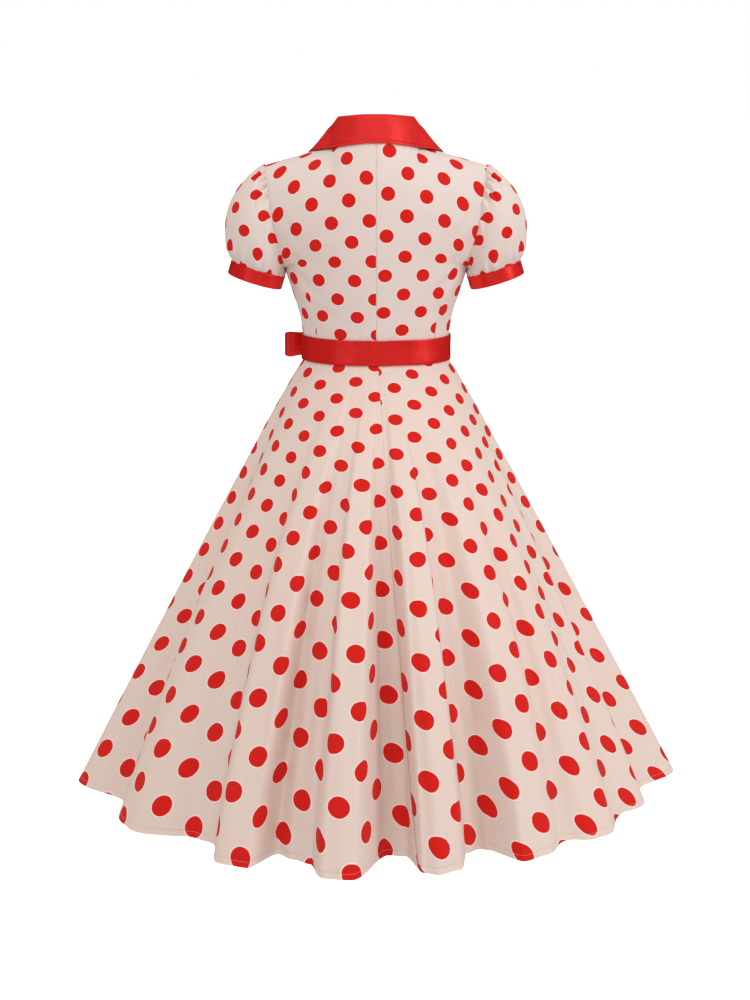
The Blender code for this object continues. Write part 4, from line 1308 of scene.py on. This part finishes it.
# %% The skirt's flat cut and its print
WAIST_RADIUS = 0.174        # of the flat ring
PRINT_GROWTH = 0.7643       # how fast the dots grow, for each metre down the cut
FIRST_REPEAT = 0.0505       # from one dot to the next, at the ring's middle
PRINT_HUB = 27.109          # rings that the print's fan would have on cloth without an end
PRINT_FAN = 0.615           # how much of the cut's own fan the columns of dots have
# Where each part's print starts, in repeats, and how far its grain is turned.
SKIRT_PRINTS = {
    "left": (0.026, 0.194, -0.025),
    "right": (0.070, 0.006, -0.033),
    "front": (0.3, 0.2, 0.0),
}
SLANT_STEPS = 161           # down the skirt, in measuring its slant
SLANT_TURNS = (-90, 451, 3.0)    # azimuths of the lines that are measured


def slant_lengths(azimuths, drops):
    """How far down the cloth each place is, on the same form without its folds."""
    fine = np.linspace(0, HEM_DROP, SLANT_STEPS)
    turns = np.arange(*SLANT_TURNS)
    radius = oval_radius(turns[:, None], *from_table(SKIRT_SECTIONS, fine).T)
    steps = np.hypot(np.diff(radius, axis=1), np.diff(fine))
    length = np.concatenate((0 * turns[:, None], np.cumsum(steps, axis=1)), axis=1)
    found = np.empty((len(azimuths[0]), len(drops)))
    for j, (row, drop) in enumerate(zip(azimuths, drops)):
        at_drop = [np.interp(drop, fine, column) for column in length]
        found[:, j] = np.interp(row, turns, at_drop)
    return found


def on_ring(radius, angle):
    """Flat coordinates across and down, for a place on a ring."""
    return np.stack((radius * np.sin(angle), radius * np.cos(angle)), axis=-1)


def ring_print(radius, round_by, across, down, turn):
    """The same place in repeats of the growing print."""
    rings = PRINT_HUB - np.exp(-PRINT_GROWTH * radius) / (PRINT_GROWTH * FIRST_REPEAT)
    return on_ring(rings, PRINT_FAN * round_by / radius + turn) + np.array((across, down))


growth = math.exp(PRINT_GROWTH * HEM_DROP)
print("at the hem a repeat is about", round(growth, 2), "times as long as at the waist")

# %% [markdown]
# Three parts make the skirt. Their cloth dips into the seams, the hem is turned up and
# topstitched, and fine folds run between the large ones. Those don't follow the form of the
# skirt, so they are relief, like the puckers of the bodice.

# %% Sewing the skirt
HIPS = np.array((0.0, 0.0, -0.8))    # a point inside the skirt
# Part, name, first and last seam, share across where its print starts, columns, seed.
SKIRT_PARTS = (
    ("left", "skirt_back_left_cloth", BACK_SEAM, LEFT_SEAM, 0.0, 240, 101),
    ("right", "skirt_back_right_cloth", RIGHT_SEAM, BACK_SEAM_AGAIN, 1.0, 240, 111),
    ("front", "skirt_front_cloth", LEFT_SEAM, RIGHT_SEAM, 0.5, 400, 121),
)
SKIRT_ROWS = 100
SKIRT_ROW_CROWDING = 0.92   # power that sets the rows closer towards the hem
BESIDE_SEAM = (0.0015, 0.003, 0.005, 0.008)    # shares across of the front's extra columns
HEM_FOLD = 0.0095           # from the hem's edge to its stitching
HEM_ROWS = (0.0, 0.0008, 0.0016, 0.003, 0.006, HEM_FOLD - 0.0015, HEM_FOLD, HEM_FOLD + 0.0015)
HEM_GROOVE = (-0.0008, HEM_FOLD, 0.0011)       # height, place up from the edge, reach
HEM_PUCKERS = (0.0006, 0.006, 0.007)
WAIST_GATHERS = (0.0003, 0.028, 0.025)         # the same, down from the waist
SMALL_FOLDS = 0.0022        # height of the fine folds between the large ones
SMALL_FOLD_START = (0.15, 0.5)     # share of the drop where they begin, and fade in
SMALL_FOLD_SWAY = 0.02
SMALL_FOLD_SPREAD = 0.98    # of the part's width, that they are spread over
HEM_PUCKER_COUNT = 90       # across a part
GATHER_COUNT = 60
SMALL_FOLD_COUNT = 34


def skirt_relief(across, down, shares, v, seed):
    """Heights over one part: its seams, the turned hem, gathers and small folds."""
    to_hem = down[:, -1:] - down
    height = seam_relief(across, down, seed, EDGE_DIP)
    height = height + seam_relief(across[-1:] - across, down, seed + 1, EDGE_DIP)
    height += band(to_hem, *HEM_GROOVE)
    height += ramp_noise(seed + 2, HEM_PUCKER_COUNT, shares)[:, None] * band(to_hem, *HEM_PUCKERS)
    height += ramp_noise(seed + 4, GATHER_COUNT, shares)[:, None] * band(down, *WAIST_GATHERS)
    start, fade_in = SMALL_FOLD_START
    sway = shares[:, None] * (1 + SMALL_FOLD_SWAY * np.sin(3 * v)) * SMALL_FOLD_SPREAD
    small = ramp_noise(seed + 3, SMALL_FOLD_COUNT, sway) * eased((v - start) / fade_in)
    return height + SMALL_FOLDS * small


def sew_skirt(part, name, first, last, start, columns, seed):
    beside = np.array(BESIDE_SEAM) * (1.0 if part == "front" else 2.0)
    us = np.unique(np.concatenate((np.linspace(0, 1, columns), beside, 1 - beside)))
    drops = HEM_DROP * np.linspace(0, 1, SKIRT_ROWS) ** SKIRT_ROW_CROWDING
    drops = np.unique(np.concatenate((drops, HEM_DROP - np.array(HEM_ROWS))))
    v = drops / HEM_DROP
    starts, ends = (seam[0] + seam[1] * v[:, None] for seam in (first, last))
    azimuths = starts + (ends - starts) * us
    grid = np.stack([skirt_row(row, drop) for row, drop in zip(azimuths, drops)], axis=1)
    across = lengths_along(grid, 0)
    down = lengths_along(grid, 1)
    out = facing_of(grid, HIPS)[0]
    height = skirt_relief(across, down, us, v[None, :], seed)
    grid = grid + out * height[..., None]
    round_by = across - np.stack([np.interp(start, us, row) for row in across.T])
    radius = WAIST_RADIUS + slant_lengths(azimuths, drops)
    weave = on_ring(radius, round_by / radius)
    prints = ring_print(radius, round_by, *SKIRT_PRINTS[part])
    line = line_on(grid, out, down[:, -1:] - down, HEM_FOLD)
    stitches = sew_line(name.replace("cloth", "stitches"), line, cream_thread, CLOTH_THICKNESS)
    finish = (skirt_cloth, cloth_inside)
    return sheet_from(name, grid, HIPS, prints, weave, finish, CLOTH_THICKNESS), stitches


skirt, hem_stitches = zip(*(sew_skirt(*row) for row in SKIRT_PARTS))
print("the skirt has", [len(piece.data.polygons) for piece in skirt], "faces")

# %% [markdown]
# ## The sash and its bow
# The sash is a band of satin folded double and pressed flat, so its top and bottom edges
# are round folds. Where it is drawn round the waist, fine creases run along it.

# %% The belt of the sash
BELT_TOP = -0.332
BELT_BOTTOM = -0.374
# Height, half width, depth behind, depth in front.
BELT_SECTIONS = (
    (BELT_BOTTOM, 0.1266, 0.0905, 0.1040),
    (-0.360, 0.1264, 0.0903, 0.1040),
    (-0.346, 0.1264, 0.0903, 0.1048),
    (BELT_TOP, 0.1268, 0.0915, 0.1065),
)
BELT_THICKNESS = 0.0020
BELT_COLUMNS = 384
# Shares of the way up, closer together at both folded edges.
BELT_ROWS = (
    0.0, 0.012, 0.035, 0.08, 0.15, 0.24, 0.34, 0.44, 0.54, 0.64, 0.74, 0.84, 0.92, 0.965, 0.988,
    1.0,
)
BELT_EDGE = (-0.0006, 0.0, 0.03)      # height, place and reach of the roll at an edge
BELT_CREASE = (0.00018, 0.10)         # depth and reach of the long crease along its middle
BELT_CREASE_UP = (0.52, 0.16)         # where that lies, and how far it wanders
BELT_FINE_CREASES = 0.00016
BELT_CREASES = 0.00030
BELT_LEAN = 0.006                     # share of the way round that creases lean over
BELT_WAVE = 0.0006                    # up and down
# Seed and number round the waist of each noise.
FINE_CREASE_NOISE = (131, 52)
CREASE_NOISE = (132, 21)
WANDER_NOISE = (133, 9)
WAVE_NOISE = (134, 14)
BELT_JOIN = 0.02                      # share of the way round over which those fade
WAIST = np.array((0.0, 0.0, WAIST_Z))    # a point inside the belt


def belt_at(azimuth, height, out_by=0.0):
    radius = oval_radius(azimuth, *from_table(BELT_SECTIONS, height)[0]) + out_by
    return round_place(azimuth, radius, height)


def sew_belt():
    azimuths = np.linspace(0, 360, BELT_COLUMNS + 1)
    round_by = azimuths / 360
    # The sash is closed behind the knot, so whatever runs along it fades out there.
    close = eased(np.minimum(round_by, 1 - round_by) / BELT_JOIN)
    rows = []
    long_crease = BELT_CREASE_UP[0] + BELT_CREASE_UP[1] * ramp_noise(*WANDER_NOISE, round_by)
    wave = BELT_WAVE * ramp_noise(*WAVE_NOISE, round_by) * close
    for up in BELT_ROWS:
        lean = BELT_LEAN * (up - 0.5)
        creases = BELT_FINE_CREASES * ramp_noise(*FINE_CREASE_NOISE, (round_by + lean) % 1)
        creases += BELT_CREASES * ramp_noise(*CREASE_NOISE, (round_by - 2 * lean) % 1)
        creases *= math.sin(math.pi * up) ** 0.5
        creases -= BELT_CREASE[0] * bell(up - long_crease, BELT_CREASE[1])
        out_by = creases * close + band(min(up, 1 - up), *BELT_EDGE)
        row = belt_at(azimuths, BELT_BOTTOM + (BELT_TOP - BELT_BOTTOM) * up, out_by)
        row[:, 2] += wave
        rows.append(row)
    grid = np.stack(rows, axis=1)
    grid[-1] = grid[0]
    return satin_piece("belt_satin", grid, WAIST, BELT_THICKNESS, around=True)


belt = sew_belt()
print("the belt is", round((BELT_TOP - BELT_BOTTOM) * 1000), "mm high")

# %% [markdown]
# The sash is tied at one side of the front. Everything in the bow is placed from its knot: a
# middle, the way along the belt, and the way out from it. The knot is a short tube with
# pleats, nearer to a box than a ball.

# %% The knot
KNOT_AZIMUTH = 143.0
KNOT_SIZE = (0.0135, 0.0085, 0.0165)  # half sizes along, out and up
KNOT_OUT = 0.0106                     # its middle from the belt's middle surface
KNOT_Z = -0.3590
KNOT_PLEATS = 7
KNOT_PLEAT_DEPTH = 0.045              # as a share of its size
KNOT_BOXINESS = 0.8                   # below 1, its section is nearer to a box than an oval
KNOT_PINCH = 0.45                     # how soon it narrows at its ends
KNOT_TILT = 84                        # degrees up and down that the tube reaches
KNOT_GRID = (97, 49)                  # points round it and up it


def knot_frame():
    """The middle of the knot, the way along the belt to the wearer's left, and out."""
    near = belt_at(np.array((KNOT_AZIMUTH - 1, KNOT_AZIMUTH + 1, KNOT_AZIMUTH)), KNOT_Z)
    along = units(near[0] - near[1])
    out = np.cross(along, UPRIGHT)
    out = -out if out[1] > 0 else out
    return near[2] + out * KNOT_OUT, along, out


def sew_knot():
    """The wrap round the middle of the bow: a short tube, pleated and pinched at its ends."""
    middle, along, out = knot_frame()
    angle = np.linspace(0, 2 * math.pi, KNOT_GRID[0])[:, None, None]
    tilt = np.radians(np.linspace(-KNOT_TILT, KNOT_TILT, KNOT_GRID[1]))[None, :, None]
    round_shape = (np.cos(angle), np.sin(angle))
    across, depth = (np.sign(part) * np.abs(part) ** KNOT_BOXINESS for part in round_shape)
    pleats = KNOT_PLEAT_DEPTH * np.cos(KNOT_PLEATS * angle + 0.6) * (0.6 + 0.4 * np.sin(tilt))
    size = np.cos(tilt) ** KNOT_PINCH * (1 + pleats) / (1 + KNOT_PLEAT_DEPTH)
    half_along, half_out, half_up = KNOT_SIZE
    ring = along * half_along * across + out * half_out * depth
    grid = middle + ring * size + UPRIGHT * half_up * np.sin(tilt)
    grid[-1] = grid[0]
    return satin_piece("bow_knot_satin", grid, middle, SATIN_THICKNESS, around=True)


knot = sew_knot()
print("the knot is", round(KNOT_SIZE[2] * 2000), "mm high")

# %% [markdown]
# A loop is one ribbon that runs out from the knot, turns over and comes back, gathered at the
# knot into creases that fan out along it. The one on the wearer's left stands far enough out
# to be seen past the waist from behind.

# %% The loops
LOOP_LENGTH = 0.082
LOOP_SWELL = 0.0105                   # half the width of the loop, seen from above
LOOP_HALF_HEIGHT = (0.0120, 0.0195)   # at the knot and at the widest
LOOP_OPENING = 0.7                    # share of the loop's length where it is widest
LOOP_START = 0.94                     # share of the way round that the ribbon shows
LOOP_GAP = 0.0006                     # from the knot to the loop
LOOP_CREASES = 0.0013                 # at the knot
LOOP_CRUMPLES = 0.0007                # away from it
LOOP_EDGE_WAVE = 0.0012
LOOP_FAN = 0.3                        # how much further apart the creases are at its end
CREASES_FADE = 0.6                    # power by which they fade away from the knot
# Seed and number across of each noise. Each loop adds its side to the seed.
LOOP_CREASE_NOISE = (141, 11)
LOOP_CRUMPLE_NOISE = (143, 9)
LOOP_GRID = (113, 41)                 # points along the ribbon and across it


def sew_loop(side, name):
    """One ribbon out from the knot, round and back, with creases that fan out from it."""
    middle, along, out = knot_frame()
    u = np.linspace(0, 1, LOOP_GRID[0])[:, None, None]
    v = np.linspace(0, 1, LOOP_GRID[1])[None, :, None]
    round_by = LOOP_START * (2 * u - 1)
    at_knot = round_by * round_by
    from_knot = 1 - at_knot
    reach = KNOT_SIZE[0] + LOOP_GAP + LOOP_LENGTH * from_knot
    near, wide = LOOP_HALF_HEIGHT
    height = near + (wide - near) * eased(from_knot / LOOP_OPENING)
    fan = 0.5 + (v - 0.5) * (1 + LOOP_FAN * from_knot)
    seed, count = LOOP_CREASE_NOISE
    creases = ramp_noise(seed + side, count, fan + 0.04 * np.sin(5 * round_by))
    seed, count = LOOP_CRUMPLE_NOISE
    crumples = ramp_noise(seed + side, count, (u + 0.10 * v) % 1)
    push = LOOP_SWELL * np.sin(math.pi * round_by)
    push = push + LOOP_CREASES * creases * at_knot**CREASES_FADE
    push = push + LOOP_CRUMPLES * crumples * from_knot
    wave = LOOP_EDGE_WAVE * np.sin(6 * math.pi * u + side) * from_knot
    up = UPRIGHT * (height + wave) * (2 * v - 1)
    grid = middle + along * side * reach + out * push + up
    flat = flat_of(grid)[..., ::-1]     # the ribbon's threads run along it
    return satin_piece(name, grid, grid.mean(axis=(0, 1)), SATIN_THICKNESS, flat)


loops = (sew_loop(1, "bow_loop_left_satin"), sew_loop(-1, "bow_loop_right_satin"))
print("a loop is", round(LOOP_LENGTH * 1000), "mm long")

# %% [markdown]
# The tails widen as they fall, and lie on the skirt wherever its folds take them, so they ask
# the skirt's own form for their places.

# %% The tails
# Name, azimuth at the knot, azimuth at the end, length, outward shift.
TAILS = (
    ("bow_tail_left_satin", 139.8, 131.5, 0.235, 0.0045),
    ("bow_tail_right_satin", 146.2, 153.5, 0.215, 0.0045),
)
TAIL_TOP_Z = -0.3755
TAIL_WIDTH = (0.0105, 0.0370)         # at the knot and at the end
TAIL_SPREAD = 2.2                     # how soon a tail reaches its full width
TAIL_FALL = 0.88                      # drop of a tail for each metre of its length
TAIL_CURVE = 0.7                      # power by which the tails part
TAIL_SLANT = 0.016                    # slant of its cut end
TAIL_LIFT = 0.0050                    # how far it stands off below the knot
TAIL_LIFT_END = 5                     # how soon that lift has gone
TAIL_PLEATS = 0.0009
TAIL_PLEAT_NOISE = (151, 7)           # seed, and number across
TAIL_PLEAT_FADE = 0.7                 # share of their height that is gone at the end
TAIL_WAVE = 0.0012
TAIL_GRID = (31, 91)                  # points across it and down it


def sew_tail(name, start_azimuth, end_azimuth, length, out_by):
    """A ribbon that widens as it falls and lies on the skirt under it."""
    us = np.linspace(0, 1, TAIL_GRID[0])
    near, far = TAIL_WIDTH
    rows = []
    for v in np.linspace(0, 1, TAIL_GRID[1]):
        drop = WAIST_Z - TAIL_TOP_Z + length * TAIL_FALL * v
        middle = start_azimuth + (end_azimuth - start_azimuth) * v**TAIL_CURVE
        radius = np.linalg.norm(skirt_row(np.array((middle,)), drop)[0, :2])
        width = near + (far - near) * eased(v * TAIL_SPREAD)
        lift = out_by + TAIL_LIFT * (1 - eased(v * TAIL_LIFT_END))
        pleats = TAIL_PLEATS * ramp_noise(*TAIL_PLEAT_NOISE, us) * (1 - TAIL_PLEAT_FADE * v)
        wave = TAIL_WAVE * math.sin(9 * v + end_azimuth) * (us - 0.5)
        turns = middle + np.degrees(width * (us - 0.5) / radius)
        drops = drop + TAIL_SLANT * (us - 0.5) * v * v
        places = zip(turns, drops, lift + pleats + wave)
        rows.append([skirt_row(np.array((turn,)), fall, push)[0] for turn, fall, push in places])
    return satin_piece(name, np.array(rows).transpose(1, 0, 2), HIPS, SATIN_THICKNESS)


tails = [sew_tail(*row) for row in TAILS]
print("the tails have", [len(piece.data.polygons) for piece in tails], "faces")

# %% [markdown]
# ## The stage
# A cream dress on white needs soft light from almost everywhere, and more from one side so
# that folds keep a lit flank and a shaded one. White paper all round would wash the cloth
# out, though. So the camera sees the world and the floor as plain white, while every other
# ray finds them dimmer, as if the paper ended just outside the picture. Satin doesn't
# mirror that paper at all, so that only the windows leave bright bands on it. The standard
# view transform keeps white white and red as dyed.

# %% Floor, light and camera
FLOOR_Z = -2.1
FLOOR_HALF = 60.0
FLOOR_GREY = 0.62
PURE_WHITE = (1.0, 1.0, 1.0)
PAPER_LIGHT = (1.0, 0.945, 0.885)      # of the paper outside the picture
WORLD_LIGHT = 0.93
SKIRT_MIDDLE = (0.0, 0.0, -0.6)
# Name, place, point that it faces, width and height, watts, colour.
WINDOWS = (
    ("right window", (-3.2, 1.85, 0.95), SKIRT_MIDDLE, (0.85, 2.6), 39.0, (0.97, 0.995, 1.03)),
    ("left window", (1.9, 2.95, 0.3), SKIRT_MIDDLE, (0.40, 2.2), 11.0, (0.97, 1.0, 1.04)),
    ("sky window", (0.1, 0.9, 1.9), (0.0, 0.1, -0.2), (2.6, 1.8), 7.5, (0.86, 0.96, 1.0)),
    ("front window", (-0.5, 4.2, -0.6), SKIRT_MIDDLE, (2.2, 1.8), 10.0, (0.97, 1.0, 1.04)),
)
CAMERA_PLACE = (0.0017, 3.3, 0.135)
CAMERA_PITCH = 77.06        # degrees up from looking straight down
CAMERA_LENS = 70.16
CAMERA_REACH = 200.0        # past the far edge of the floor


def is_camera_ray(recipe):
    return recipe.add("ShaderNodeLightPath").outputs["Is Camera Ray"]


def plain_floor():
    material, recipe, shader = new_finish("white floor")
    recipe.fill(shader, {
        "Base Color": (FLOOR_GREY,) * 3,
        "Roughness": 0.9,
        "Specular IOR Level": 0.1,
        "Emission Color": PURE_WHITE,
        "Emission Strength": is_camera_ray(recipe),
    })
    signs = ((-1, -1), (1, -1), (1, 1), (-1, 1))
    corners = np.array([(FLOOR_HALF * x, FLOOR_HALF * y, FLOOR_Z) for x, y in signs])
    floor = link_mesh("floor", corners, [(0, 1, 2, 3)], (material,))
    floor.visible_glossy = False
    return floor


def plain_world():
    world = bpy.data.worlds.new("studio")
    world.use_nodes = True
    recipe = Recipe(world.node_tree)
    recipe.fill(world.node_tree.nodes["Background"], {
        "Color": recipe.mix(is_camera_ray(recipe), PAPER_LIGHT, PURE_WHITE),
        "Strength": recipe.math("MAXIMUM", is_camera_ray(recipe), WORLD_LIGHT),
    })
    world.cycles_visibility.glossy = False
    return world


def hang_window(name, place, aim, size, watts, colour):
    light = bpy.data.lights.new(name, "AREA")
    light.shape = "RECTANGLE"
    light.size, light.size_y = size
    light.energy = watts
    light.color = colour
    lamp = bpy.data.objects.new(name, light)
    lamp.location = place
    towards = mathutils.Vector(aim) - lamp.location
    lamp.rotation_euler = towards.to_track_quat("-Z", "Y").to_euler()
    lamp.visible_camera = False
    bpy.context.collection.objects.link(lamp)


def stand_camera():
    lens = bpy.data.cameras.new("camera")
    lens.lens = CAMERA_LENS
    lens.clip_end = CAMERA_REACH
    camera = bpy.data.objects.new("camera", lens)
    camera.location = CAMERA_PLACE
    camera.rotation_euler = (math.radians(CAMERA_PITCH), 0.0, math.pi)
    bpy.context.collection.objects.link(camera)
    return camera


floor = plain_floor()
for window in WINDOWS:
    hang_window(*window)
scene = bpy.context.scene
scene.world = plain_world()
scene.view_settings.view_transform = "Standard"
scene.camera = stand_camera()
print("the camera is", round(scene.camera.location.length, 2), "m from the neck")

# %% [markdown]
# ## What each piece is
# Each sheet hangs on the frame's root with the stitches sewn on it, and stands for the piece
# of the frame that has its name, without the word for its cloth, which is hidden. A table
# gives how large each was cut, how it is held and what it lies on, and the area that each
# sheet is drawn with is printed: a sheet drawn larger than its cut would have been stretched.

# %% Hanging the sheets on the frame
BACKS = ("bodice_back_left_cloth", "bodice_back_right_cloth")
FRONT = ("bodice_front_cloth",)
KNOT = ("bow_knot_satin",)
# Pieces, flat width and length, flat area, how each is held, what it rests on or hangs from.
CUTS = (
    (backs, (0.220, 0.405), 0.070, "hung", FRONT),
    (bodice[2:], (0.480, 0.390), 0.138, "hung", BACKS),
    ((collar,), (0.740, 0.130), 0.080, "folded", BACKS + FRONT),
    (sleeves, (0.440, 0.160), 0.054, "gathered", BACKS + FRONT),
    (cuffs[:1], (0.303, 0.024), None, "folded", ("sleeve_left_cloth",)),
    (cuffs[1:], (0.303, 0.024), None, "folded", ("sleeve_right_cloth",)),
    (skirt[:2], (0.964, 0.880), 0.504, "hung", BACKS),
    (skirt[2:], (1.712, 0.936), 1.013, "hung", FRONT),
    ((belt,), (0.700, 0.043), None, "laid", BACKS + FRONT),
    ((knot,), (0.072, 0.034), None, "folded", ("belt_satin",)),
    (loops, (0.165, 0.039), 0.0057, "folded", KNOT),
    (tails[:1], (0.235, 0.037), 0.0078, "hung", (*KNOT, "skirt_front_cloth")),
    (tails[1:], (0.215, 0.037), 0.0071, "hung", (*KNOT, "skirt_front_cloth")),
)
STITCHED = dict(zip((collar, *skirt), (collar_stitches, *hem_stitches)))


def declare(piece, flat, area, held, rests_on):
    cloth_word = piece.name.rsplit("_", 1)[1]
    sewn_on = [STITCHED[piece]] if piece in STITCHED else []
    for part in (piece, *sewn_on):
        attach(part, "root")
    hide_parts(piece.name.removesuffix("_" + cloth_word))


for pieces, *said in CUTS:
    for piece in pieces:
        declare(piece, *said)
        drawn = sum(face.area for face in piece.data.polygons)
        print(piece.name, "is drawn with", round(drawn, 4), "square metres")

# %% Finishing
bpy.context.view_layer.update()
